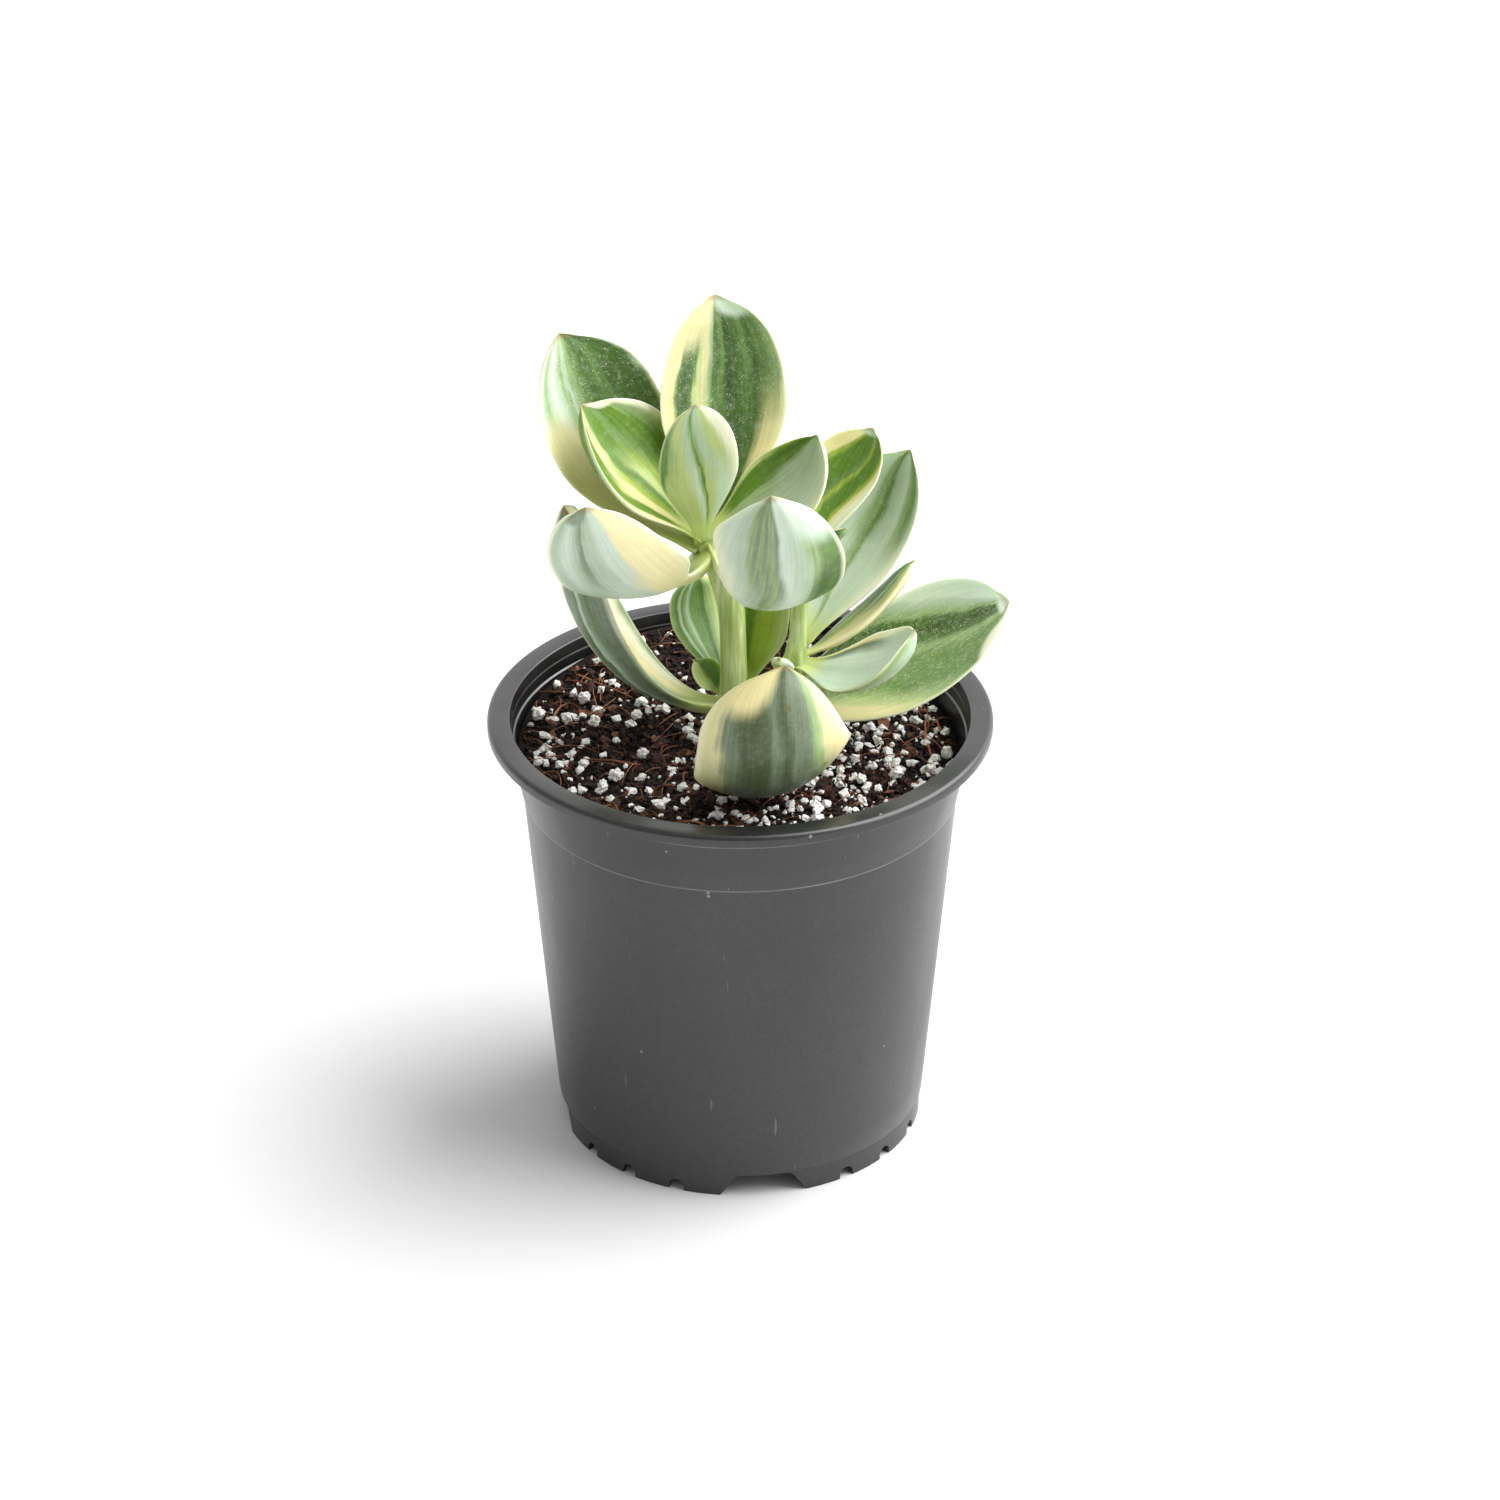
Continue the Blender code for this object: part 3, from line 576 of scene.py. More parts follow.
# --- leaf skin --------------------------------------------------------------------------------
# Stripes run lengthwise. A row gives places across the leaf, from -1 to 1, and their paints, near the
# tip of one face or, as its _low row, near the stalk. lean slides them sideways along the leaf, and
# dots is how thickly pale specks lie. Spots are (face, across, along, half width, half length, paint).
LOOKS = {
    "crown_leaf_back_tall": {
        "upper": ("-1 ivory, -0.9 sage, -0.74 mid, -0.56 forest, -0.43 mid, -0.3 forest, -0.16 deep, "
                  "-0.04 mid, 0.06 forest, 0.15 sage, 0.24 custard, 0.34 soft, 0.42 forest, 0.54 deep, "
                  "0.66 forest, 0.76 custard, 0.9 custard, 1 cream"),
        "upper_low": ("-1 butter, -0.74 cream, -0.58 forest, -0.3 deep, -0.1 forest, 0.1 mid, 0.2 soft, "
                      "0.36 soft, 0.46 deep, 0.66 forest, 0.78 cream, 1 butter"),
        "under": "-1 ivory, -0.6 grey, 0.0 sage, 0.5 frost, 1 butter",
        "lean": 0.12,
        "spots": (("upper", 0.62, 1.0, 0.5, 0.2, "custard"), ("upper", -0.5, 0.99, 0.5, 0.06, "frost")),
        "dots": 0.7,
    },
    "crown_leaf_back_left": {
        "upper": ("-1 grey, -0.9 forest, -0.62 forest, -0.46 mid, -0.3 forest, -0.16 mid, -0.02 sage, "
                  "0.08 grey, 0.16 sage, 0.28 grey, 0.42 frost, 0.55 grey, 0.7 sage, 0.84 grey, "
                  "0.93 ivory, 1 ivory"),
        "upper_low": ("-1 forest, -0.6 mid, -0.4 sage, -0.2 soft, 0.0 soft, 0.16 cream, 0.4 butter, "
                      "1 butter"),
        "under": ("-1 butter, -0.7 cream, -0.5 soft, -0.36 sage, -0.2 grey, -0.06 sage, 0.1 frost, "
                  "0.3 cream, 0.6 butter, 1 butter"),
        "under_low": "-1 butter, -0.4 cream, 0.0 soft, 0.2 cream, 1 butter",
        "lean": -0.05,
        "spots": (("upper", 0.7, 0.5, 0.55, 0.22, "butter"),),
        "dots": 1.0,
    },
    "crown_leaf_front_left": {
        "under": ("-1 ivory, -0.85 grey, -0.62 frost, -0.46 grey, -0.34 pewter, -0.2 grey, -0.08 grey, "
                  "0.08 frost, 0.24 frost, 0.4 butter, 1 butter"),
        "under_low": "-1 grey, -0.6 grey, -0.2 frost, 0.05 frost, 0.3 butter, 0.8 butter, 1 ivory",
        "upper": "-1 cream, -0.5 butter, -0.2 mid, 0.3 forest, 0.8 mid, 1 ivory",
        "spots": (("under", -0.5, 0.985, 0.36, 0.04, "pewter"),),
        "dots": 0.1,
    },
    "crown_leaf_front": {
        "under": ("-1 ivory, -0.72 frost, -0.36 grey, -0.24 sage, -0.14 pewter, -0.04 sage, 0.04 pewter, "
                  "0.12 sage, 0.2 pewter, 0.32 frost, 0.6 grey, 0.8 sage, 1 mid"),
        "under_low": ("-1 ivory, -0.7 ivory, -0.3 frost, -0.1 grey, 0.0 pewter, 0.1 sage, 0.2 grey, "
                      "0.4 frost, 0.66 sage, 0.9 mid, 1 forest"),
        "upper": "-1 cream, -0.6 mid, 0.2 forest, 0.5 soft, 0.8 mid, 1 ivory",
        "lean": 0.55,
        "spots": (("under", 0.75, 0.97, 0.4, 0.12, "frost"), ("under", 1.0, 0.62, 0.34, 0.16, "forest")),
        "dots": 0.1,
    },
    "crown_leaf_inner_left": {
        "upper": ("-1 ivory, -0.86 sage, -0.7 vivid, -0.54 vivid, -0.42 mid, -0.28 vivid, -0.14 vivid, "
                  "0.0 mid, 0.1 soft, 0.26 custard, 0.4 vivid, 0.6 vivid, 0.8 vivid, 0.92 sage, 1 ivory"),
        "upper_low": ("-1 soft, -0.75 vivid, -0.5 vivid, -0.3 lime, -0.18 soft, -0.06 vivid, 0.14 lime, "
                      "0.26 cream, 0.42 cream, 0.56 vivid, 0.74 vivid, 0.88 cream, 1 butter"),
        "lean": -0.25,
        "spots": (("upper", -0.75, 0.98, 0.3, 0.06, "ivory"),),
        "dots": 0.2,
    },
    "crown_leaf_inner_right": {
        "upper": ("-1 ivory, -0.7 frost, 0.1 grey, 0.42 grey, 0.52 sage, 0.6 mid, 0.68 vivid, "
                  "0.76 forest, 0.86 vivid, 0.95 lime, 1 ivory"),
        "upper_low": "-1 frost, 0.0 grey, 0.38 sage, 0.5 vivid, 0.84 vivid, 0.92 soft, 1 cream",
        "under": "-1 ivory, -0.2 grey, 0.3 soft, 0.7 mid, 1 ivory",
        "dots": 0.1,
    },
    "crown_leaf_young_front": {
        "under": ("-1 ivory, -0.84 mid, -0.7 sage, -0.45 soft, -0.15 grey, -0.05 sage, 0.0 mid, "
                  "0.05 sage, 0.2 grey, 0.6 soft, 0.9 ivory, 1 ivory"),
        "under_low": ("-1 soft, -0.5 soft, -0.15 frost, -0.04 sage, 0.01 vivid, 0.07 soft, 0.5 frost, "
                      "1 ivory"),
        "upper": "-1 ivory, -0.6 mid, 0.0 soft, 0.4 vivid, 1 ivory",
        "lean": 0.9,
        "spots": (("under", -0.95, 0.66, 0.12, 0.22, "mid"),),
        "dots": 0.15,
    },
    "crown_leaf_young_back": {
        "upper": "-1 ivory, -0.6 mid, 0.1 vivid, 0.5 soft, 1 cream",
        "dots": 0.2,
    },
    "base_leaf_left": {
        "under": ("-1 ivory, -0.6 cream, -0.3 forest, -0.1 slate, 0.02 cream, 0.12 soft, 0.22 slate, "
                  "0.42 slate, 0.5 forest, 0.56 grey, 0.64 slate, 0.73 forest, 0.8 slate, 1 slate"),
        "under_low": ("-1 mid, -0.5 sage, -0.2 soft, 0.2 cream, 0.36 slate, 0.5 forest, 0.58 grey, "
                      "0.8 slate, 1 slate"),
        "upper": "-1 mid, -0.8 ivory, -0.55 cream, -0.2 sage, 0.4 mid, 1 sage",
        "dots": 0.2,
    },
    "base_leaf_right": {
        "upper": ("-1 soft, -0.75 sage, -0.5 mid, 0.0 mid, 0.24 sage, 0.34 forest, 0.5 deep, "
                  "0.64 forest, 0.72 sage, 0.9 grey, 1 frost"),
        "upper_low": "-1 cream, -0.8 soft, -0.4 mid, 0.1 sage, 0.34 forest, 0.6 forest, 0.72 sage, 1 frost",
        "lean": 1.5,
        "spots": (("upper", -0.95, 0.93, 0.3, 0.07, "ivory"), ("upper", -0.1, 1.0, 0.5, 0.03, "frost")),
        "dots": 1.0,
    },
    "base_leaf_front": {
        # Its under face is partly its own dark streaks and partly painted shade: the moss, slate and olive
        # stripes paint it darker and greyer where it faces down towards the soil.
        "under": ("-1 butter, -0.9 custard, -0.78 custard, -0.66 slate, -0.5 moss, -0.26 moss, "
                  "-0.14 slate, 0.0 moss, 0.12 slate, 0.3 slate, 0.44 sage, 0.58 custard, 0.8 cream, "
                  "1 butter"),
        "under_low": ("-1 butter, -0.92 soft, -0.74 olive, -0.5 slate, -0.34 moss, -0.16 slate, "
                      "0.0 moss, 0.2 slate, 0.4 olive, 0.6 olive, 0.78 cream, 1 butter"),
        "upper": "-1 cream, -0.4 mid, 0.3 forest, 0.7 cream, 1 butter",
        "lean": 0.3,
        "spots": (("under", -0.02, 0.87, 0.035, 0.012, "olive"),
                  ("under", 0.5, 0.62, 0.03, 0.01, "olive"),
                  ("under", -0.6, 0.96, 0.34, 0.1, "cream")),
        "dots": 0.1,
    },
    "base_leaf_back": {
        # Painted light: this upper face is painted a brighter lime than its own green, standing in for light
        # shining through it from behind.
        "upper": "-1 soft, -0.6 lime, -0.2 lime, 0.1 vivid, 0.3 lime, 1 soft",
        "dots": 0.1,
    },
    "base_leaf_back_left": {
        "upper": ("-1 cream, -0.5 soft, -0.18 sage, -0.06 forest, 0.15 mid, 0.36 mid, 0.45 grey, "
                  "0.56 sage, 0.64 mid, 0.72 grey, 0.82 mid, 1 sage"),
        "lean": 0.1,
        "dots": 0.2,
    },
    "base_leaf_small_left": {
        "upper": "-1 lime, -0.6 mid, -0.15 mid, 0.2 soft, 1 soft",
        "under": "-1 lime, 0.0 soft, 1 cream",
        "dots": 0.0,
    },
    "side_leaf_back_right": {
        "upper": ("-1 frost, -0.85 grey, -0.62 mid, -0.42 sage, -0.2 frost, 0.04 grey, 0.18 mid, "
                  "0.3 sage, 0.5 frost, 1 frost"),
        "upper_low": "-1 ivory, -0.3 frost, 0.08 frost, 0.2 sage, 0.36 frost, 1 frost",
        "dots": 0.5,
    },
    "side_leaf_front_right": {
        "upper": "-1 sage, -0.4 grey, 0.2 frost, 0.75 frost, 0.9 ivory, 1 ivory",
        "upper_low": "-1 grey, 0.0 grey, 0.5 frost, 0.78 slate, 0.9 cream, 1 ivory",
        "under": "-1 sage, -0.4 grey, 0.2 frost, 0.6 grey, 1 ivory",
        "dots": 0.1,
    },
    "side_leaf_right": {
        "upper": "-1 cream, -0.6 soft, -0.4 mid, -0.2 sage, 0.05 mid, 0.3 forest, 0.7 mid, 1 sage",
        "upper_low": "-1 butter, -0.5 cream, -0.2 lime, 0.2 lime, 0.5 mid, 1 soft",
        "under": "-1 cream, -0.5 butter, 0.2 cream, 1 soft",
        "dots": 0.1,
    },
    "side_leaf_upper": {
        "upper": ("-1 ivory, -0.72 cream, -0.58 lime, -0.4 vivid, -0.1 vivid, 0.06 lime, 0.16 mid, "
                  "0.3 vivid, 0.7 vivid, 0.9 lime, 1 cream"),
        "lean": 1.8,
        "spots": (("upper", 1.0, 0.84, 0.25, 0.3, "cream"), ("upper", -0.2, 1.0, 0.9, 0.04, "grey")),
        "dots": 0.1,
    },
    "side_leaf_tiny": {
        "upper": "-1 mid, 0.0 forest, 1 mid",
        "under": "-1 forest, 0.0 sage, 1 mid",
        "dots": 0.0,
    },
    "side_shoot_bud": {
        "upper": "-1 frost, 0.0 stalk, 1 frost",
        "dots": 0.0,
    },
}


def tinted_noise(tree, place, scale, tint_low, tint_high, detail=3.0):
    """A grey value that wanders between two shares, to darken or lighten a colour."""
    return ease(tree, cloud(tree, place, scale, detail), 0.3, 0.7, tint_low, tint_high)


def stripes(row):
    """The colour stops of a row of stripes such as "-1 ivory, 0.2 mid", with -1 to 1 as 0 to 1."""
    pairs = [stripe.split() for stripe in row.split(", ")]
    return [((float(at) + 1) / 2, tint) for at, tint in pairs]


def leaf_side(tree, look, side, spread, far, along, flat):
    """The striped colour of one face of a leaf."""
    near_tip = look.get(side) or look["upper"]
    near_stalk = look.get(side + "_low", near_tip)
    place = spread * 0.5 + 0.5
    tip, stalk = ramp(tree, place, stripes(near_tip)), ramp(tree, place, stripes(near_stalk))
    found = blend(tree, ease(tree, along, 0.40, 0.72), stalk, tip)
    for of_side, at, height, half, reach, tint in look.get("spots", ()):
        if of_side == side:
            dx, dy = (flat - at) / half, (far - height) / reach
            away = number(tree, "SQRT", dx * dx + dy * dy)
            found = blend(tree, ease(tree, away, 1.35, 0.7), found, PAINT[tint])
    return found


def leaf_skin(name):
    look = LOOKS[name]
    length, width = LEAVES[name][5:7]
    skin, tree, shader, _ = new_skin(name + "_skin")
    along, across, over = (
        out(add(tree, "ShaderNodeAttribute", attribute_name="leaf_" + key), "Fac")
        for key in ("along", "across", "over")
    )
    seed = float(sorted(LEAVES).index(name)) * 3.7
    flat_place = combine(tree, across * (width / 2), along * length, seed)
    fine_place = combine(tree, across * (width * 0.85), along * (length * 0.05), seed)
    wander = (cloud(tree, flat_place, 0.11, 2.0) - 0.5) * 0.24
    fibres = (cloud(tree, fine_place, 0.8, 4.0, 0.65) - 0.5) * 0.13
    lean = (along - 0.6) * look.get("lean", 0.0)
    spread = across + wander + fibres + lean
    faces = [leaf_side(tree, look, side, spread, along, along + wander * 0.3, across + fibres)
             for side in ("under", "upper")]
    is_upper = ease(tree, over, -0.25, 0.25)
    found = blend(tree, is_upper, faces[0], faces[1])
    streaks = tinted_noise(tree, fine_place, 0.9, 0.80, 1.14, 5.0)
    blotches = tinted_noise(tree, flat_place, 0.30, 0.92, 1.06)
    grit = tinted_noise(tree, flat_place, 2.6, 0.93, 1.05, 4.0)
    pale = ease(tree, out(add(tree, "ShaderNodeRGBToBW", {"Color": found})), 0.28, 0.62)
    tone = streaks * blotches * grit
    found = blend(tree, 1.0 - 0.7 * pale, found, combine(tree, tone, tone, tone), "MULTIPLY")

    bloom = ease(tree, cloud(tree, flat_place, 0.8, 6.0, 0.75), 0.44, 0.76, 0.0, 0.10 + 0.22 * look["dots"])
    found = blend(tree, bloom, found, PAINT["frost"])
    cells = add(tree, "ShaderNodeTexVoronoi", {"Vector": flat_place, "Scale": 2.3})
    size = ease(tree, cloud(tree, flat_place, 0.7, 3.0), 0.36, 0.62, 0.0, 0.27)
    dot = number(tree, "LESS_THAN", out(cells, "Distance"), size)
    found = blend(tree, dot * look["dots"] * (is_upper * 0.45 + 0.2), found, PAINT["ivory"])

    edge = number(tree, "ABSOLUTE", across)
    rim = ease(tree, edge + fibres * 0.3 + wander * 0.1, 0.93, 1.0, 0.0, 0.55)
    found = blend(tree, rim, found, PAINT["ivory"])
    is_stalk = ease(tree, along + wander * 0.2, 0.20, 0.05, 0.0, 0.85)
    found = blend(tree, is_stalk, found, PAINT["stalk"])
    found = blend(tree, ease(tree, along, 0.986, 0.998, 0.0, 0.55), found, colour(150, 108, 66))
    grain = cloud(tree, flat_place, 3.2, 3.0) * 0.6 + cloud(tree, fine_place, 2.4, 3.0) * 0.7
    dress(tree, shader, {
        "Base Color": found, "Roughness": tinted_noise(tree, flat_place, 1.6, 0.36, 0.52),
        "Specular IOR Level": 0.45, "Subsurface Weight": 0.28, "Subsurface Radius": (0.7, 1.0, 0.35),
        "Subsurface Scale": 1.6 * MM, "Normal": bumps(tree, grain + dot * 0.25, 0.30, 0.16 * MM),
    })
    return skin


# --- pot --------------------------------------------------------------------------------------
def body_radius(z):
    """Outer radius of the pot's body at height z, below the lip."""
    collar_foot = POT_HEIGHT - SHOULDER_BELOW_RIM
    at_lip = RIM_RADIUS - LIP_OVERHANG
    at_shoulder = at_lip - COLLAR_DRAFT * (POT_HEIGHT - LIP_HEIGHT - collar_foot)
    if z >= collar_foot:
        return at_shoulder + COLLAR_DRAFT * (z - collar_foot)
    return at_shoulder - SHOULDER_STEP - BODY_TAPER * (collar_foot - z)


def bore_radius(z):
    return body_radius(z) - WALL


def arc(across, up, radius, start, end, count):
    """Points of an arc round (across, up), between two angles in quarter turns."""
    turns = np.linspace(start, end, count) * math.pi / 2
    return [(across + radius * math.cos(turn), up + radius * math.sin(turn)) for turn in turns]


def pot_profile():
    """Radius and height from the underside, round the outside and the rim, to the inner floor."""
    shoulder = POT_HEIGHT - SHOULDER_BELOW_RIM
    ledge = POT_HEIGHT - LEDGE_BELOW_RIM
    lip = POT_HEIGHT - LIP_HEIGHT
    foot = body_radius(FOOT_HEIGHT) - FOOT_INSET
    rim_bore = bore_radius(lip) + LEDGE_STEP
    floor_top = FLOOR_UNDERSIDE + FLOOR_THICKNESS
    edge, start = EDGE_ROUND, FOOT_HEIGHT + 0.5 * FOOT_INSET
    rows = [
        (foot - WALL, FLOOR_UNDERSIDE), (foot - WALL, edge), (foot - WALL + edge, 0.0),
        (foot - edge, 0.0), (foot, edge), (foot, FOOT_HEIGHT - edge), (foot + edge, FOOT_HEIGHT),
        (body_radius(FOOT_HEIGHT) - edge, FOOT_HEIGHT), (body_radius(FOOT_HEIGHT), start),
    ]
    rows += [(body_radius(z), z) for z in np.linspace(start, shoulder - SHOULDER_STEP, 14)[1:]]
    rows += [(body_radius(shoulder), shoulder), (body_radius(shoulder) + 0.1 * MM, shoulder + 0.5 * MM)]
    rows += [(body_radius(z), z) for z in np.linspace(shoulder, lip, 6)[1:-1]]
    rows += [(body_radius(lip) - 0.05 * MM, lip - 0.35 * MM), (body_radius(lip) + 0.3 * MM, lip)]
    rows += arc(RIM_RADIUS - UNDER_ROUND, lip + UNDER_ROUND, UNDER_ROUND, -1, 0, 4)
    rows += arc(RIM_RADIUS - RIM_ROUND, POT_HEIGHT - RIM_ROUND, RIM_ROUND, 0, 1, 7)
    rows += arc(rim_bore + BORE_ROUND, POT_HEIGHT - BORE_ROUND, BORE_ROUND, 1, 2, 4)
    rows += [
        (bore_radius(ledge) + LEDGE_STEP, ledge), (bore_radius(ledge - LEDGE_STEP), ledge - LEDGE_STEP),
        (bore_radius(shoulder), shoulder), (bore_radius(floor_top + WALL), floor_top + WALL),
        (bore_radius(floor_top) - WALL, floor_top),
    ]
    return rows


def ring_of(radius, z, sides):
    turns = np.arange(sides) * TAU / sides
    return np.column_stack([radius * np.cos(turns), radius * np.sin(turns), np.full(sides, z)]) + AXIS


def skirt_openings():
    """Closed prisms through the foot skirt: a wide drain gap and three small notches, four times."""
    head, below, ease_in = FLOOR_UNDERSIDE - 0.2 * MM, -1.0 * MM, 0.9 * MM
    slope = (WIDE_GAP_BOTTOM - WIDE_GAP_TOP) / (2 * head)
    low, high = WIDE_GAP_BOTTOM / 2 - slope * below, WIDE_GAP_TOP / 2
    corner = high + slope * ease_in
    wide = [(-low, below), (low, below), (corner, head - ease_in)]
    wide += [(high - 0.3 * ease_in, head - 0.2 * ease_in), (high - 0.8 * ease_in, head)]
    wide += [(0.8 * ease_in - high, head)]
    wide += [(0.3 * ease_in - high, head - 0.2 * ease_in), (-corner, head - ease_in)]
    arch = [(-NOTCH_RADIUS, below), (NOTCH_RADIUS, below)]
    arch += arc(0.0, NOTCH_HEIGHT - NOTCH_RADIUS, NOTCH_RADIUS, 0, 2, 13)
    foot = body_radius(FOOT_HEIGHT) - FOOT_INSET
    points, faces = [], []
    for quarter in range(4):
        start = FOOT_TURN + quarter * TAU / 4
        cuts = [(wide, start)] + [(arch, start + math.radians(a)) for a in NOTCH_ANGLES]
        for outline, turn in cuts:
            away = np.array([math.cos(turn), math.sin(turn), 0.0])
            side = np.array([-math.sin(turn), math.cos(turn), 0.0])
            rings = [[AXIS + reach * away + x * side + np.array([0, 0, z]) for x, z in outline]
                     for reach in (foot - 4 * WALL, foot + 3 * WALL)]
            some, these = closed_rings(rings)
            faces += [tuple(i + len(points) for i in face) for face in these]
            points += some
    return points, faces


def make_pot(skin):
    rings = [ring_of(r, z, POT_SIDES) for r, z in pot_profile()]
    bottom, top = AXIS + (0, 0, FLOOR_UNDERSIDE), AXIS + (0, 0, FLOOR_UNDERSIDE + FLOOR_THICKNESS)
    pot = solid("moulded_pot", *closed_rings(rings, bottom, top), skin)
    cutter = solid("skirt_cutter", *skirt_openings(), skin, smooth=False)
    cut = pot.modifiers.new("skirt", "BOOLEAN")
    cut.operation, cut.solver, cut.object = "DIFFERENCE", "EXACT", cutter
    graph = bpy.context.evaluated_depsgraph_get()
    mesh = bpy.data.meshes.new_from_object(pot.evaluated_get(graph))
    pot.modifiers.clear()
    pot.data = mesh
    bpy.data.objects.remove(cutter)
    mesh.set_sharp_from_angle(angle=SHARP_FROM)
    return pot


def pot_skin():
    """Satin dark plastic: faint flow lines round the wall, scuffs and dust specks, with painted highlight
    lines at the shoulder and below the lip and painted shade on the inner wall above the soil.
    """
    skin, tree, shader, here = new_skin("pot_plastic_skin")
    centred = vector(tree, "SUBTRACT", here, tuple(AXIS))
    x, y, z = split(tree, centred)
    base = tinted_noise(tree, centred, 55.0, 0.86, 1.12)
    mottle = ease(tree, cloud(tree, centred, 900.0, 2.0), 0.4, 0.7)
    grey = blend(tree, mottle, colour(24, 24, 25), colour(33, 33, 34))
    found = blend(tree, 1.0, grey, combine(tree, base, base, base), "MULTIPLY")
    specks = add(tree, "ShaderNodeTexVoronoi", {"Vector": centred, "Scale": 330.0})
    rare = ease(tree, cloud(tree, centred, 120.0, 2.0), 0.60, 0.72, 0.0, 0.13)
    dust = number(tree, "LESS_THAN", out(specks, "Distance"), rare)
    scratch_place = combine(tree, x * 900.0, y * 900.0, z * 26.0)
    scratches = ease(tree, cloud(tree, scratch_place, 1.0, 1.0), 0.765, 0.80, 0.0, 0.20)
    reach = number(tree, "SQRT", x * x + y * y)
    lip, shoulder = POT_HEIGHT - LIP_HEIGHT, POT_HEIGHT - SHOULDER_BELOW_RIM
    rim_bore = bore_radius(lip) + LEDGE_STEP
    # Painted shade: the inner wall above the soil is darkened towards near black, standing in for the shade
    # inside the rim.
    inner_wall_shade = ease(tree, reach, rim_bore + 0.5 * MM, rim_bore)
    inner_wall_shade = inner_wall_shade * ease(tree, z, SOIL_LEVEL - 6 * MM, SOIL_LEVEL - 4 * MM)
    found = blend(tree, inner_wall_shade * 0.6, found, colour(12, 11, 11))
    found = blend(tree, dust * 0.5 + scratches, found, colour(168, 166, 162))
    # Painted highlights: thin pale bands at the shoulder and just below the lip stand in for light catching
    # those edges.
    highlight_lines = ((shoulder, 0.35 * MM, 0.45), (lip - 2.6 * MM, 0.25 * MM, 0.35), (lip - 0.2 * MM, 0.3 * MM, 0.5))
    for height, width, amount in highlight_lines:
        away = number(tree, "ABSOLUTE", z - height)
        broken = tinted_noise(tree, centred, 70.0, 0.4, 1.0)
        found = blend(tree, ease(tree, away, width, 0.0, 0.0, amount) * broken, found, colour(178, 178, 178))
    smears = tinted_noise(tree, combine(tree, x * 60.0, y * 60.0, z * 14.0), 1.0, 0.27, 0.38)
    flow = cloud(tree, combine(tree, x * 40.0, y * 40.0, z * 900.0), 1.0, 3.0)
    height = flow * 0.5 + cloud(tree, centred, 1600.0, 2.0) * 0.6 + dust * 0.6
    dress(tree, shader, {
        "Base Color": found, "Roughness": smears + dust * 0.3, "Specular IOR Level": 0.75,
        "Normal": bumps(tree, height, 0.22, 0.10 * MM),
    })
    return skin


# --- soil -------------------------------------------------------------------------------------
def soil_height(x, y):
    """Height of the soil at (x, y) from the pot's axis, before its crumbs."""
    reach = bore_radius(SOIL_LEVEL)
    u, v = x / reach, y / reach
    z = SOIL_LEVEL - SOIL_FALL_RIGHT * (u + u * u) + SOIL_RISE_BACK * (v + v * v)
    away = math.hypot(x - HOLLOW_AT[0], y - HOLLOW_AT[1]) / HOLLOW_RADIUS
    return z - HOLLOW_DEPTH * math.exp(-away * away)


def rough_soil(x, y):
    """The same height with clods and small pits."""
    lumps = noise.fractal(Vector((x * 150, y * 150, 2.0)), 1.0, 2.0, 3)
    pits = noise.fractal(Vector((x * 520, y * 520, 7.0)), 0.9, 2.1, 3)
    near_wall = min(1.0, (bore_radius(SOIL_LEVEL) - math.hypot(x, y)) / (4 * MM))
    return soil_height(x, y) + (0.75 * lumps + 0.5 * pits) * MM * near_wall


def make_soil(skin):
    rings, floor_top = [], FLOOR_UNDERSIDE + FLOOR_THICKNESS
    reach = bore_radius(SOIL_LEVEL) - SOIL_GAP
    for k in range(1, SOIL_RINGS + 1):
        ring = []
        for turn in np.arange(SOIL_SIDES) * TAU / SOIL_SIDES:
            x, y = reach * k / SOIL_RINGS * math.cos(turn), reach * k / SOIL_RINGS * math.sin(turn)
            ring.append(np.array([x, y, rough_soil(x, y)]) + AXIS)
        rings.append(ring)
    for z in (SOIL_LEVEL - 8 * MM, floor_top + WALL + SOIL_GAP):
        rings.append(ring_of(bore_radius(z) - SOIL_GAP, z, SOIL_SIDES))
    rings.append(ring_of(bore_radius(floor_top) - WALL - SOIL_GAP, floor_top + SOIL_GAP, SOIL_SIDES))
    start = np.array([0, 0, rough_soil(0, 0)]) + AXIS
    return solid("peat_bed", *closed_rings(rings, start, AXIS + (0, 0, floor_top + SOIL_GAP)), skin)


def soil_top(name, share_at):
    """The open top of the soil, with a share at each point of how thickly loose pieces lie there."""
    reach = bore_radius(SOIL_LEVEL) - CLEAR_OF_WALL
    places, faces, shares = [], [], []
    steps = np.linspace(-reach, reach, GROUND_STEPS)
    index = {}
    for i, x in enumerate(steps):
        for j, y in enumerate(steps):
            if math.hypot(x, y) <= reach:
                index[i, j] = len(places)
                places.append(Vector((x, y, rough_soil(x, y))) + Vector(AXIS))
                shares.append(share_at(x / MM, y / MM))
    for i, j in index:
        corners = [(i, j), (i + 1, j), (i + 1, j + 1), (i, j + 1)]
        if all(corner in index for corner in corners):
            faces.append([index[corner] for corner in corners])
    mesh = bpy.data.meshes.new(name)
    mesh.from_pydata(places, [], faces)
    layer = mesh.attributes.new("lying_share", "FLOAT", "POINT")
    layer.data.foreach_set("value", np.array(shares, np.float32))
    return mesh


def clear_of_stems(x, y):
    away = min(math.hypot(x - foot, y) for foot in STEM_FEET)
    return 0.0 if away < CLEAR_OF_STEM else 1.0


def perlite_share(x, y):
    """White grains lie thickest on the right and round the front, and thin in the hollow."""
    share = 0.62 + 0.38 * noise.noise(Vector((x / 7, y / 7, 3.0))) * 1.6
    if x > THICK_PAST_X:
        share += 0.45
    if math.hypot(x - BARE_AT[0], y - BARE_AT[1]) < BARE_RADIUS:
        share -= 0.75
    if y > THIN_PAST_Y:
        share -= 0.35
    return max(0.02, min(1.0, share)) * clear_of_stems(x, y)


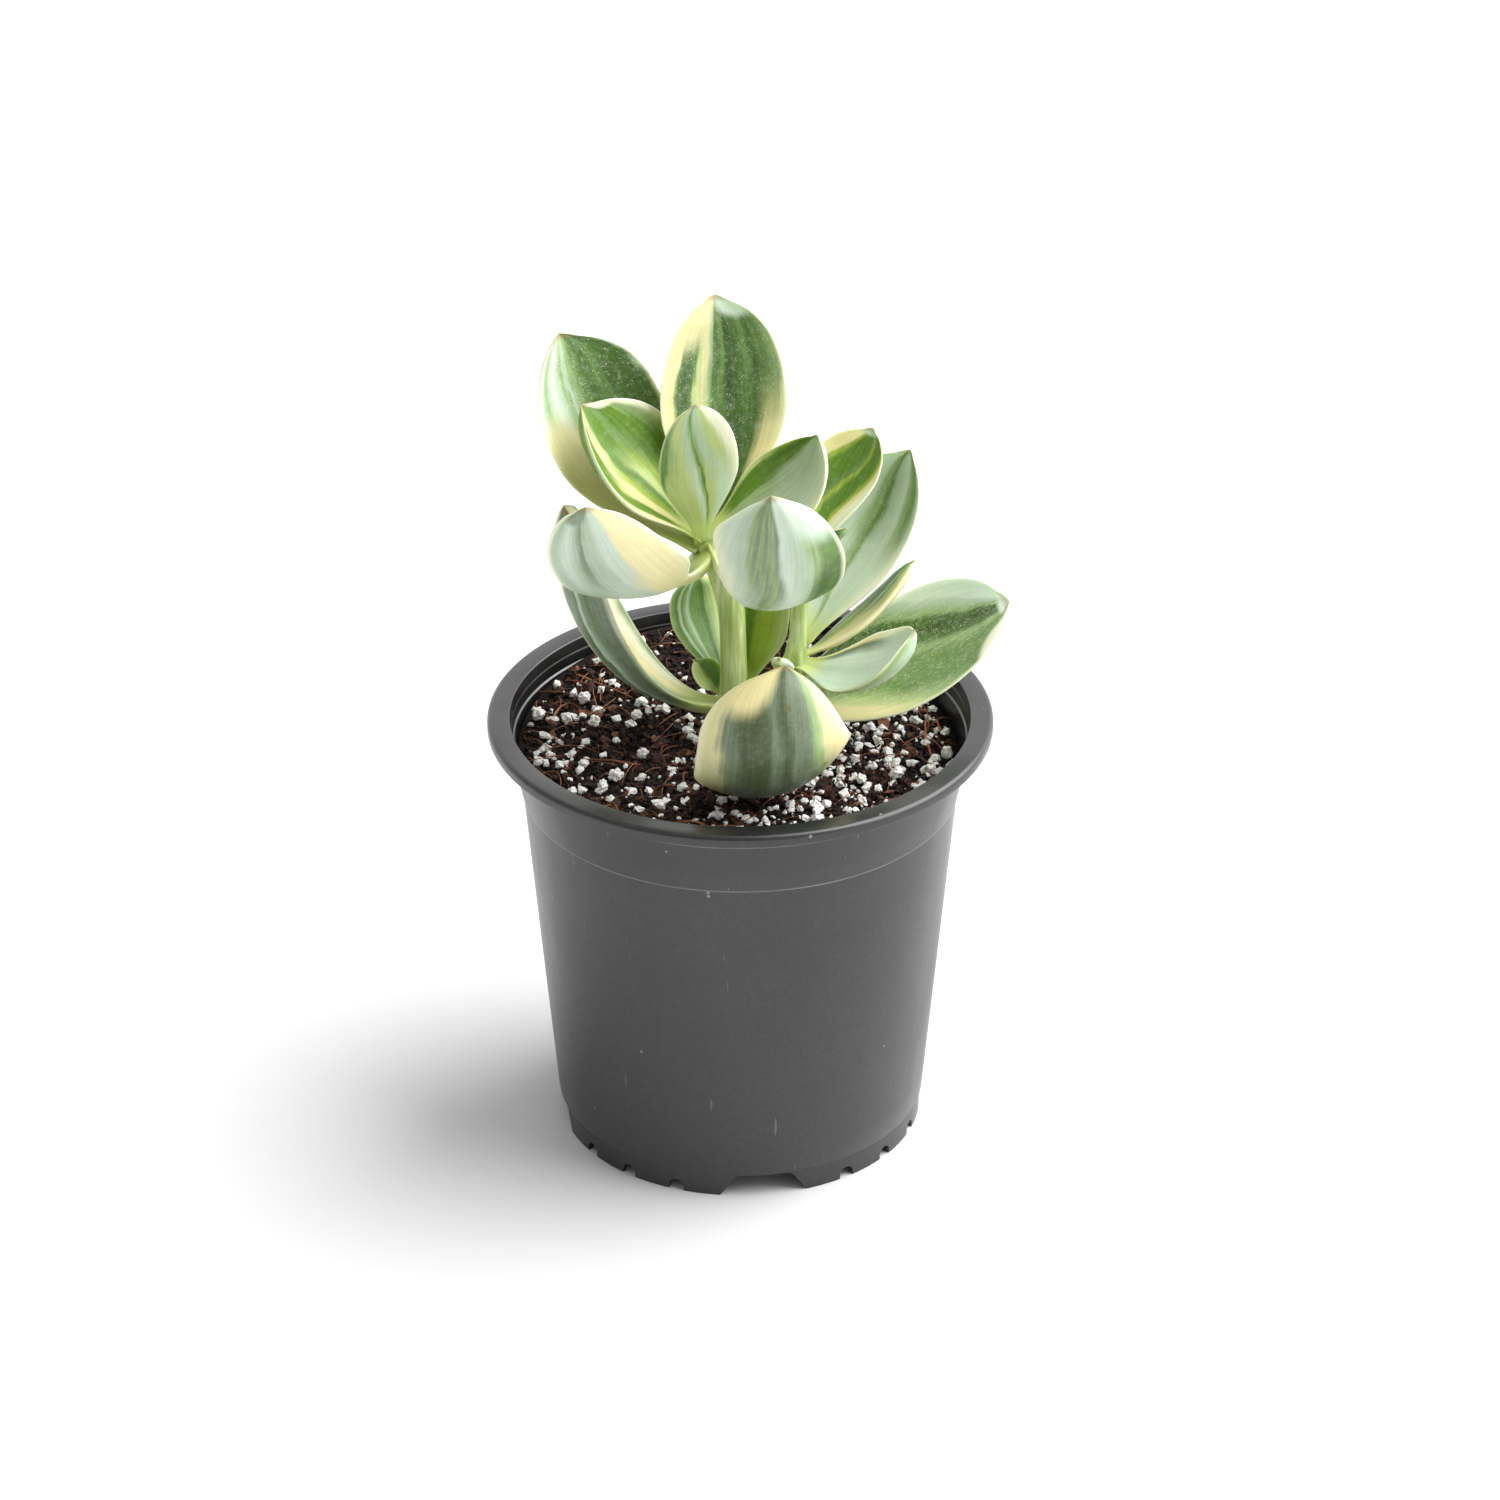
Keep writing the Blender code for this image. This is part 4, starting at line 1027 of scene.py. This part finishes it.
SCATTER_SIZES = (
    ("Spacing", "Float", 0.001), ("Most per area", "Float", 1e5), ("Smallest", "Float", 0.001),
    ("Largest", "Float", 0.002), ("Length share", "Float", 1.0), ("Height share", "Float", 1.0),
    ("Ruggedness", "Float", 0.3), ("Lift", "Float", 0.0), ("Seed", "Int", 1), ("Skin", "Material", None),
)


SCATTER_LENGTHS = {"Spacing", "Smallest", "Largest", "Shortest", "Longest", "Radius", "Arch"}


def random_number(tree, low, high, seed):
    made = add(tree, "FunctionNodeRandomValue", {2: low, 3: high, "Seed": seed}, data_type="FLOAT")
    return out(made, 1)


def lying_spots(tree, ground, size):
    """Random places on a surface, as thick as its lying share says."""
    share = add(tree, "GeometryNodeInputNamedAttribute", {"Name": "lying_share"}, data_type="FLOAT")
    return out(add(tree, "GeometryNodeDistributePointsOnFaces", {
        "Mesh": ground, "Distance Min": size["Spacing"], "Density Max": size["Most per area"],
        "Density Factor": out(share), "Seed": size["Seed"],
    }, distribute_method="POISSON"))


def scatter_tree():
    """Rugged little lumps laid at random on a surface, few of them large."""
    tree, given, ending = new_tree("loose_lumps", SCATTER_SIZES)
    size = {label: out(given, label) for label, _, _ in SCATTER_SIZES}
    seed = size["Seed"]
    spots = lying_spots(tree, out(given), size)
    block = add(tree, "GeometryNodeMeshCube", {"Vertices X": 3, "Vertices Y": 3, "Vertices Z": 3})
    rounded = vector(tree, "NORMALIZE", out(tree.nodes.new("GeometryNodeInputPosition")))
    rounded = scaled(tree, rounded, 0.5)
    ball = add(tree, "GeometryNodeSetPosition", {"Geometry": out(block), "Position": rounded})
    pick = random_number(tree, 0.0, 1.0, seed + 1.0)
    across = size["Smallest"] + (size["Largest"] - size["Smallest"]) * pick * pick
    turn = combine(
        tree, random_number(tree, -0.5, 0.5, seed + 2.0), random_number(tree, -0.5, 0.5, seed + 3.0),
        random_number(tree, 0.0, TAU, seed + 4.0),
    )
    stretch = combine(
        tree, across * size["Length share"], across * random_number(tree, 0.75, 1.0, seed + 5.0),
        across * size["Height share"] * random_number(tree, 0.8, 1.0, seed + 6.0),
    )
    lumps = add(tree, "GeometryNodeInstanceOnPoints", {
        "Points": spots, "Instance": out(ball), "Rotation": turn, "Scale": stretch,
    })
    tint = add(tree, "GeometryNodeStoreNamedAttribute", {"Geometry": out(lumps), "Name": "lump_tint"})
    tint.domain = "INSTANCE"
    plug(tree, tint.inputs["Value"], random_number(tree, 0.0, 1.0, seed + 7.0))
    girth = add(tree, "GeometryNodeStoreNamedAttribute", {"Geometry": out(tint), "Name": "lump_size"})
    girth.domain = "INSTANCE"
    plug(tree, girth.inputs["Value"], across)
    faces = add(tree, "GeometryNodeRealizeInstances", {"Geometry": out(girth)})
    place = out(tree.nodes.new("GeometryNodeInputPosition"))
    swirl = add(tree, "ShaderNodeTexNoise", {"Vector": place, "Scale": 900.0, "Detail": 2.0})
    girth_here = add(tree, "GeometryNodeInputNamedAttribute", {"Name": "lump_size"}, data_type="FLOAT")
    nudge = vector(tree, "SUBTRACT", out(swirl, "Color"), (0.5, 0.5, 0.5))
    nudge = scaled(tree, nudge, out(girth_here) * size["Ruggedness"] * 2.0)
    nudge = vector(tree, "ADD", nudge, combine(tree, 0.0, 0.0, size["Lift"] * out(girth_here)))
    rugged = add(tree, "GeometryNodeSetPosition", {"Geometry": out(faces), "Offset": nudge})
    finish_tree(tree, ending, out(rugged), size["Skin"])
    return tree


STRAND_SIZES = (
    ("Spacing", "Float", 0.003), ("Most per area", "Float", 1e4), ("Shortest", "Float", 0.004),
    ("Longest", "Float", 0.012), ("Radius", "Float", 0.0001), ("Arch", "Float", 0.1),
    ("Seed", "Int", 1), ("Skin", "Material", None),
)


def strand_tree():
    """Thin curved fibres lying at random on a surface."""
    tree, given, ending = new_tree("loose_strands", STRAND_SIZES)
    size = {label: out(given, label) for label, _, _ in STRAND_SIZES}
    seed = size["Seed"]
    spots = lying_spots(tree, out(given), size)
    arc = add(tree, "GeometryNodeCurveQuadraticBezier", {
        "Resolution": 9, "Start": (-0.5, 0.0, 0.0), "Middle": (0.0, 0.45, 0.0), "End": (0.5, 0.0, 0.0),
    })
    long = random_number(tree, size["Shortest"], size["Longest"], seed + 1.0)
    bend = random_number(tree, -1.0, 1.0, seed + 2.0)
    tilt, heading = random_number(tree, -0.12, 0.12, seed + 3.0), random_number(tree, 0.0, TAU, seed + 4.0)
    turn = combine(tree, 0.0, tilt, heading)
    stretch = combine(tree, long, long * bend, long)
    lying = add(tree, "GeometryNodeInstanceOnPoints", {
        "Points": spots, "Instance": out(arc), "Rotation": turn, "Scale": stretch,
    })
    paths = add(tree, "GeometryNodeRealizeInstances", {"Geometry": out(lying)})
    along = out(add(tree, "GeometryNodeSplineParameter"), "Factor")
    hump = (along * (1.0 - along)) * 4.0
    raised = add(tree, "GeometryNodeSetPosition", {"Geometry": out(paths)})
    plug(tree, raised.inputs["Offset"], combine(tree, 0.0, 0.0, hump * size["Arch"] + size["Radius"]))
    ring = add(tree, "GeometryNodeCurvePrimitiveCircle", {"Resolution": 5, "Radius": 1.0})
    swept = add(tree, "GeometryNodeCurveToMesh", {"Curve": out(raised), "Profile Curve": out(ring)})
    plug(tree, swept.inputs["Scale"], size["Radius"] * (1.0 - 0.5 * along))
    swept.inputs["Fill Caps"].default_value = True
    smooth = add(tree, "GeometryNodeSetShadeSmooth", {"Geometry": out(swept)})
    finish_tree(tree, ending, out(smooth), size["Skin"])
    return tree


def peat_skin():
    skin, tree, shader, here = new_skin("peat_skin")
    found = ramp(tree, cloud(tree, here, 420.0, 5.0, 0.65), [
        (0.30, colour(9, 6, 6)), (0.48, colour(22, 14, 12)),
        (0.60, colour(42, 26, 20)), (0.74, colour(84, 54, 40)),
    ])
    dress(tree, shader, {
        "Base Color": found, "Roughness": 0.92, "Specular IOR Level": 0.3,
        "Normal": bumps(tree, cloud(tree, here, 1500.0, 4.0, 0.7), 0.9, 0.5 * MM),
    })
    return skin


def crumb_skin(name, dark, middle, light, scale, roughness):
    """Loose lumps: each one its own tone between three colours, mottled and gritty."""
    skin, tree, shader, here = new_skin(name)
    tone = out(add(tree, "ShaderNodeAttribute", attribute_name="lump_tint"), "Fac")
    mottled = tone * 0.7 + cloud(tree, here, scale, 4.0, 0.6) * 0.6 - 0.15
    found = ramp(tree, mottled, [(0.1, dark), (0.5, middle), (0.92, light)])
    dress(tree, shader, {
        "Base Color": found, "Roughness": roughness, "Specular IOR Level": 0.3,
        "Normal": bumps(tree, cloud(tree, here, scale * 2.2, 4.0, 0.7), 0.7, 0.25 * MM),
    })
    return skin


def perlite_skin():
    """Chalky white puffed grains with tiny pits, their hollows painted darker as painted shade, faintly
    stained by the peat.
    """
    skin, tree, shader, here = new_skin("perlite_skin")
    stain = ease(tree, cloud(tree, here, 330.0, 3.0), 0.56, 0.74, 0.0, 0.5)
    found = blend(tree, stain, colour(248, 246, 243), colour(180, 164, 148))
    pits = add(tree, "ShaderNodeTexVoronoi", {"Vector": here, "Scale": 2600.0})
    depth = ease(tree, out(pits, "Distance"), 0.05, 0.38)
    # Painted shade: the middle of each pit is darkened towards grey.
    found = blend(tree, ease(tree, depth, 0.0, 0.6, 0.35, 0.0), found, colour(150, 142, 134))
    dress(tree, shader, {
        "Base Color": found, "Roughness": 0.88, "Subsurface Weight": 0.1, "Subsurface Scale": 0.5 * MM,
        "Normal": bumps(tree, depth + cloud(tree, here, 900.0, 3.0), 0.8, 0.2 * MM),
    })
    return skin


def coir_skin():
    skin, tree, shader, here = new_skin("coir_skin")
    found = ramp(tree, cloud(tree, here, 160.0, 3.0), [
        (0.3, colour(92, 52, 30)), (0.5, colour(140, 86, 48)), (0.7, colour(178, 120, 70)),
    ])
    dress(tree, shader, {
        "Base Color": found, "Roughness": 0.7,
        "Normal": bumps(tree, cloud(tree, here, 2600.0, 2.0), 0.5, 0.05 * MM),
    })
    return skin


# --- stems ------------------------------------------------------------------------------------
TUBE_SIZES = (("Sides", "Int", 20), ("Relief", "Float", 0.0), ("Skin", "Material", None))


def tube_tree():
    """A round body swept along a drawn line, as thick as the line says at each point."""
    tree, given, ending = new_tree("grown_tube", TUBE_SIZES)
    path = add(tree, "GeometryNodeMeshToCurve", {"Mesh": out(given)})
    girth = add(tree, "GeometryNodeInputNamedAttribute", {"Name": "girth"}, data_type="FLOAT")
    ring = add(tree, "GeometryNodeCurvePrimitiveCircle", {"Resolution": out(given, "Sides"), "Radius": 1.0})
    swept = add(tree, "GeometryNodeCurveToMesh", {"Curve": out(path), "Profile Curve": out(ring)})
    plug(tree, swept.inputs["Scale"], out(girth))
    swept.inputs["Fill Caps"].default_value = True
    place = out(tree.nodes.new("GeometryNodeInputPosition"))
    wave = cloud(tree, vector(tree, "MULTIPLY", place, (700.0, 700.0, 120.0)), 1.0, 2.0) - 0.5
    push = scaled(tree, out(tree.nodes.new("GeometryNodeInputNormal")), wave * out(given, "Relief"))
    rough = add(tree, "GeometryNodeSetPosition", {"Geometry": out(swept), "Offset": push})
    smooth = add(tree, "GeometryNodeSetShadeSmooth", {"Geometry": out(rough)})
    finish_tree(tree, ending, out(smooth), out(given, "Skin"))
    return tree


def smooth_rows(rows, count):
    """Points on one smooth line (a Catmull-Rom curve) through the rows, as many to each stretch."""
    rows = np.array(rows, float)
    ends = [2 * rows[0] - rows[1], *rows, 2 * rows[-1] - rows[-2]]
    made = []
    for k in np.linspace(0, len(rows) - 1, count):
        i = min(int(k), len(rows) - 2)
        t = k - i
        a, b, c, d = ends[i : i + 4]
        square, cube = 2 * a - 5 * b + 4 * c - d, 3 * b - a - 3 * c + d
        made.append(0.5 * (2 * b + (c - a) * t + square * t * t + cube * t**3))
    return np.array(made)


def drawn_line(name, rows):
    """A line of points with their girths, in metres."""
    mesh = bpy.data.meshes.new(name)
    places = [tuple(row[:3]) for row in rows]
    mesh.from_pydata(places, [(k, k + 1) for k in range(len(places) - 1)], [])
    layer = mesh.attributes.new("girth", "FLOAT", "POINT")
    layer.data.foreach_set("value", np.array([row[3] for row in rows], np.float32))
    return mesh


# The joint rings of each stem: height above the soil and added radius, in millimetres.
SWELLINGS = {
    "main": ((8.6, 0.5), (12.2, 0.3), (45.6, 0.35), (50.0, 0.3)),
    "side": ((19.8, 0.35), (22.6, 0.25), (44.0, 0.25)),
}
SWELLING_REACH = 1.5


def make_stem(tree, stem, skin):
    rows = smooth_rows(STEMS[stem], 90)
    made = []
    for x, y, height, share in rows:
        girth = share * STEM_RADIUS
        for at, extra in SWELLINGS[stem]:
            girth += extra * math.exp(-(((height - at) / SWELLING_REACH) ** 2))
        made.append((*(np.array([x, y, height]) * MM + AXIS + (0, 0, SOIL_LEVEL)), girth * MM))
    line = drawn_line(stem + "_line", made)
    piece = grown(stem + "_stalk", tree, {"Sides": 26, "Relief": 0.35 * MM, "Skin": skin}, line)
    face_outwards(piece.data)
    return piece


def stem_skin():
    """Green succulent bark: olive below, fresh green above, with pale lengthwise lines and joint rings."""
    skin, tree, shader, here = new_skin("stem_skin")
    x, y, z = split(tree, vector(tree, "SUBTRACT", here, (AXIS[0], AXIS[1], SOIL_LEVEL)))
    long_place = combine(tree, x * 900.0, y * 900.0, z * 60.0)
    lines = cloud(tree, long_place, 1.0, 4.0, 0.6)
    found = ramp(tree, lines, [
        (0.3, colour(150, 168, 98)), (0.46, colour(184, 202, 130)),
        (0.6, colour(214, 226, 166)), (0.72, colour(234, 240, 204)),
    ])
    green = ease(tree, cloud(tree, here, 130.0, 2.0), 0.45, 0.66, 0.0, 0.40)
    found = blend(tree, green, found, colour(156, 184, 92))
    low = ease(tree, z, 12.0 * MM, 0.0, 0.0, 0.55)
    found = blend(tree, low, found, colour(120, 108, 70))
    ring = number(tree, "ABSOLUTE", z - SWELLINGS["main"][0][0] * MM)
    found = blend(tree, ease(tree, ring, 0.7 * MM, 0.1 * MM, 0.0, 0.4), found, colour(132, 118, 78))
    dress(tree, shader, {
        "Base Color": found, "Roughness": tinted_noise(tree, here, 500.0, 0.42, 0.6),
        "Subsurface Weight": 0.12, "Subsurface Radius": (0.7, 1.0, 0.3), "Subsurface Scale": 1.2 * MM,
        "Normal": bumps(tree, lines + cloud(tree, here, 1400.0, 3.0) * 0.5, 0.4, 0.15 * MM),
    })
    return skin


# --- named grains and fibres ------------------------------------------------------------------
GRAIN_SHARE = 0.74
GRAIN_SINK = 0.3 * MM
FIBRE_RADIUS, FIBRE_THINNING = 0.29, 0.12


def make_grain(number_, skin):
    """A puffed grain with hollows, filling the frame's grain."""
    low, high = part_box(f"perlite_grain_{number_:02d}")
    middle, half = (low + high) / 2 - Vector((0, 0, GRAIN_SINK)), (high - low) / 2 * GRAIN_SHARE
    shell = bmesh.new()
    bmesh.ops.create_icosphere(shell, subdivisions=4, radius=1.0)
    for vert in shell.verts:
        way = vert.co.normalized()
        seat = way * 1.5 + Vector((number_ * 5.0, 0, 0))
        bulge = 0.84 + 0.42 * noise.noise(seat) + 0.20 * noise.noise(seat * 2.7)
        bulge -= 0.14 * abs(noise.noise(seat * 5.5))
        vert.co = way * bulge
    reach = [max(abs(v.co[k]) for v in shell.verts) for k in range(3)]
    for vert in shell.verts:
        vert.co = middle + Vector([vert.co[k] / reach[k] * half[k] for k in range(3)])
    mesh = bpy.data.meshes.new(f"puffed_grain_{number_:02d}")
    shell.to_mesh(mesh)
    shell.free()
    face_outwards(mesh)
    mesh.shade_smooth()
    mesh.materials.append(skin)
    piece = new_object(mesh.name, mesh)
    settle(piece, "perlite", f"perlite_grain_{number_:02d}")


def middle_line(node):
    """The centre line of a swept six-sided frame node, from its rings of corners."""
    mesh = bpy.data.objects[node].data
    places = np.empty(len(mesh.vertices) * 3)
    mesh.vertices.foreach_get("co", places)
    places = places.reshape(-1, 3)
    spread = places.max(0) - places.min(0)
    main_way = int(np.argmax(spread[:2]))
    order = places[np.argsort(places[:, main_way])]
    parts = np.array_split(order, 9)
    return [part.mean(0) for part in parts]


def make_fibre(tree, number_, skin):
    rows = smooth_rows([(*place, 0.0) for place in middle_line(f"coir_fibre_{number_}")], 24)
    made = []
    for k, (x, y, z, _) in enumerate(rows):
        share = k / (len(rows) - 1)
        made.append((x, y, z, (FIBRE_RADIUS - FIBRE_THINNING * share) * MM))
    sizes = {"Sides": 10, "Relief": 0.12 * MM, "Skin": skin}
    piece = grown(f"coir_strand_{number_}", tree, sizes, drawn_line(f"coir_line_{number_}", made))
    face_outwards(piece.data)
    settle(piece, "coir", f"coir_fibre_{number_}")


# --- floor, light and camera ------------------------------------------------------------------
FLOOR_REACH = 6.0
AIR_STRENGTH = 0.33
AIR_FROM_RIGHT = 1.3
AIR_FROM_LEFT = 0.15
AIR_FROM_BEHIND = 1.0
AIR_FROM_ABOVE = 0.2
KEY_STRENGTH = 4.7
KEY_SPREAD = math.radians(66.0)
KEY_HEIGHT = math.radians(49.0)
KEY_HEADING = math.radians(9.0)
LENS_LENGTH, LENS_WIDTH = 127.94, 36.0
NEAREST, FARTHEST = 0.01, 30.0
CAMERA_PLACE = (0.00209, -1.0, 0.6383)
CAMERA_TURN = (math.radians(61.17), 0.0, 0.0)


def make_floor():
    mesh = bpy.data.meshes.new("studio_floor")
    corners = [(x * FLOOR_REACH, y * FLOOR_REACH, 0) for x, y in ((-1, -1), (1, -1), (1, 1), (-1, 1))]
    mesh.from_pydata(corners, [], [(0, 1, 2, 3)])
    floor = new_object("studio_floor", mesh)
    skin, tree, shader, here = new_skin("floor_paint")
    found = blend(tree, cloud(tree, here, 9.0, 3.0), colour(224, 224, 225), colour(227, 227, 228))
    dress(tree, shader, {"Base Color": found, "Roughness": 0.75, "Specular IOR Level": 0.2})
    mesh.materials.append(skin)


def make_lights():
    world = bpy.data.worlds.new("studio_air")
    bpy.context.scene.world = world
    world.use_nodes = True
    tree = world.node_tree
    way = out(tree.nodes.new("ShaderNodeTexCoord"), "Generated")
    x, y, z = split(tree, way)
    right = ease(tree, x, 0.25, 0.98, 0.0, AIR_FROM_RIGHT) * ease(tree, z, 0.8, 0.3)
    left = ease(tree, x, -0.55, -0.98, 0.0, AIR_FROM_LEFT)
    above = ease(tree, z, 0.2, 0.95, 0.0, AIR_FROM_ABOVE)
    behind = ease(tree, y, 0.15, 0.85, 0.0, AIR_FROM_BEHIND) * ease(tree, z, 0.85, 0.55)
    tree.nodes["Background"].inputs["Color"].default_value = (1.0, 1.0, 1.0, 1.0)
    plug(tree, tree.nodes["Background"].inputs["Strength"], right + left + above + behind + AIR_STRENGTH)
    lamp = bpy.data.lights.new("key_light", "SUN")
    lamp.energy, lamp.angle = KEY_STRENGTH, KEY_SPREAD
    flat = math.cos(KEY_HEIGHT)
    way = Vector((flat * math.cos(KEY_HEADING), flat * math.sin(KEY_HEADING), math.sin(KEY_HEIGHT)))
    new_object("key_light", lamp).rotation_euler = way.to_track_quat("Z", "Y").to_euler()


def make_camera():
    lens = bpy.data.cameras.new("camera")
    lens.lens, lens.sensor_width = LENS_LENGTH, LENS_WIDTH
    lens.clip_start, lens.clip_end = NEAREST, FARTHEST
    camera = new_object("camera", lens)
    camera.location = Vector(CAMERA_PLACE) + Vector((AXIS[0], 0.0, 0.0))
    camera.rotation_euler = CAMERA_TURN
    bpy.context.scene.camera = camera


# --- building ---------------------------------------------------------------------------------
# Loose lumps: spacing, most in a square metre, smallest and largest, length and height shares,
# ruggedness, lift and seed, with lengths in millimetres.
LOOSE_LUMPS = {
    "peat_crumbs": (0.8, 6e5, 0.8, 2.2, 1.15, 0.8, 0.75, 0.12, 3),
    "fine_crumbs": (0.74, 9e5, 0.35, 1.0, 1.4, 0.8, 0.8, 0.7, 13),
    "bark_bits": (1.7, 7e4, 0.9, 2.8, 1.7, 0.4, 0.6, 0.3, 21),
    "perlite_crumbs": (0.85, 2.6e5, 0.6, 2.5, 1.15, 0.85, 0.55, 0.35, 40),
}
# Loose fibres: spacing, most in a square metre, shortest, longest, radius, arch and seed.
LOOSE_HAIRS = {
    "coir_hairs": (2.6, 2.2e4, 4, 13, 0.13, 1.3, 5),
    "fine_hairs": (2.0, 3.0e4, 2, 7, 0.07, 0.9, 9),
}
GRAINS, FIBRES = 16, 5


def scattered(name, tree, labels, values, skin, ground):
    """A loose piece spread over the ground, with its lengths turned from millimetres to metres."""
    sizes = {"Skin": skin}
    for (label, _, _), value in zip(labels, values):
        sizes[label] = value * MM if label in SCATTER_LENGTHS else value
    return grown(name, tree, sizes, ground.copy())


def lay_soil():
    peat, perlite, coir = peat_skin(), perlite_skin(), coir_skin()
    settle(make_soil(peat), "soil", "potting_soil")
    crumb = crumb_skin("crumb_skin", colour(9, 6, 6), colour(30, 18, 15), colour(92, 60, 46), 900.0, 0.86)
    bark = crumb_skin("bark_skin", colour(20, 12, 10), colour(60, 36, 28), colour(128, 84, 62), 500.0, 0.8)
    even = soil_top("soil_top", clear_of_stems)
    white = soil_top("perlite_top", perlite_share)
    lumps, strands, tubes = scatter_tree(), strand_tree(), tube_tree()
    skins = {"bark_bits": bark, "perlite_crumbs": perlite}
    for name, values in LOOSE_LUMPS.items():
        slot, ground = ("perlite", white) if name == "perlite_crumbs" else ("soil", even)
        settle(scattered(name, lumps, SCATTER_SIZES, values, skins.get(name, crumb), ground), slot)
    for name, values in LOOSE_HAIRS.items():
        settle(scattered(name, strands, STRAND_SIZES, values, coir, even), "coir")
    for number_ in range(1, GRAINS + 1):
        make_grain(number_, perlite)
    for number_ in range(1, FIBRES + 1):
        make_fibre(tubes, number_, coir)
    return tubes


def grow_plant(tubes):
    bark_green = stem_skin()
    settle(make_stem(tubes, "main", bark_green), "stem", "main_stem")
    settle(make_stem(tubes, "side", bark_green), "stem", "side_shoot_stem")
    blades = leaf_tree()
    for name in LEAVES:
        slot = "leaf_young" if name in YOUNG else "leaf_mature"
        settle(make_leaf(blades, name, leaf_skin(name)), slot, name)


settle(make_pot(pot_skin()), "pot_plastic", "nursery_pot")
grow_plant(lay_soil())
make_floor()
make_lights()
make_camera()
bpy.context.scene.view_settings.view_transform = "Standard"
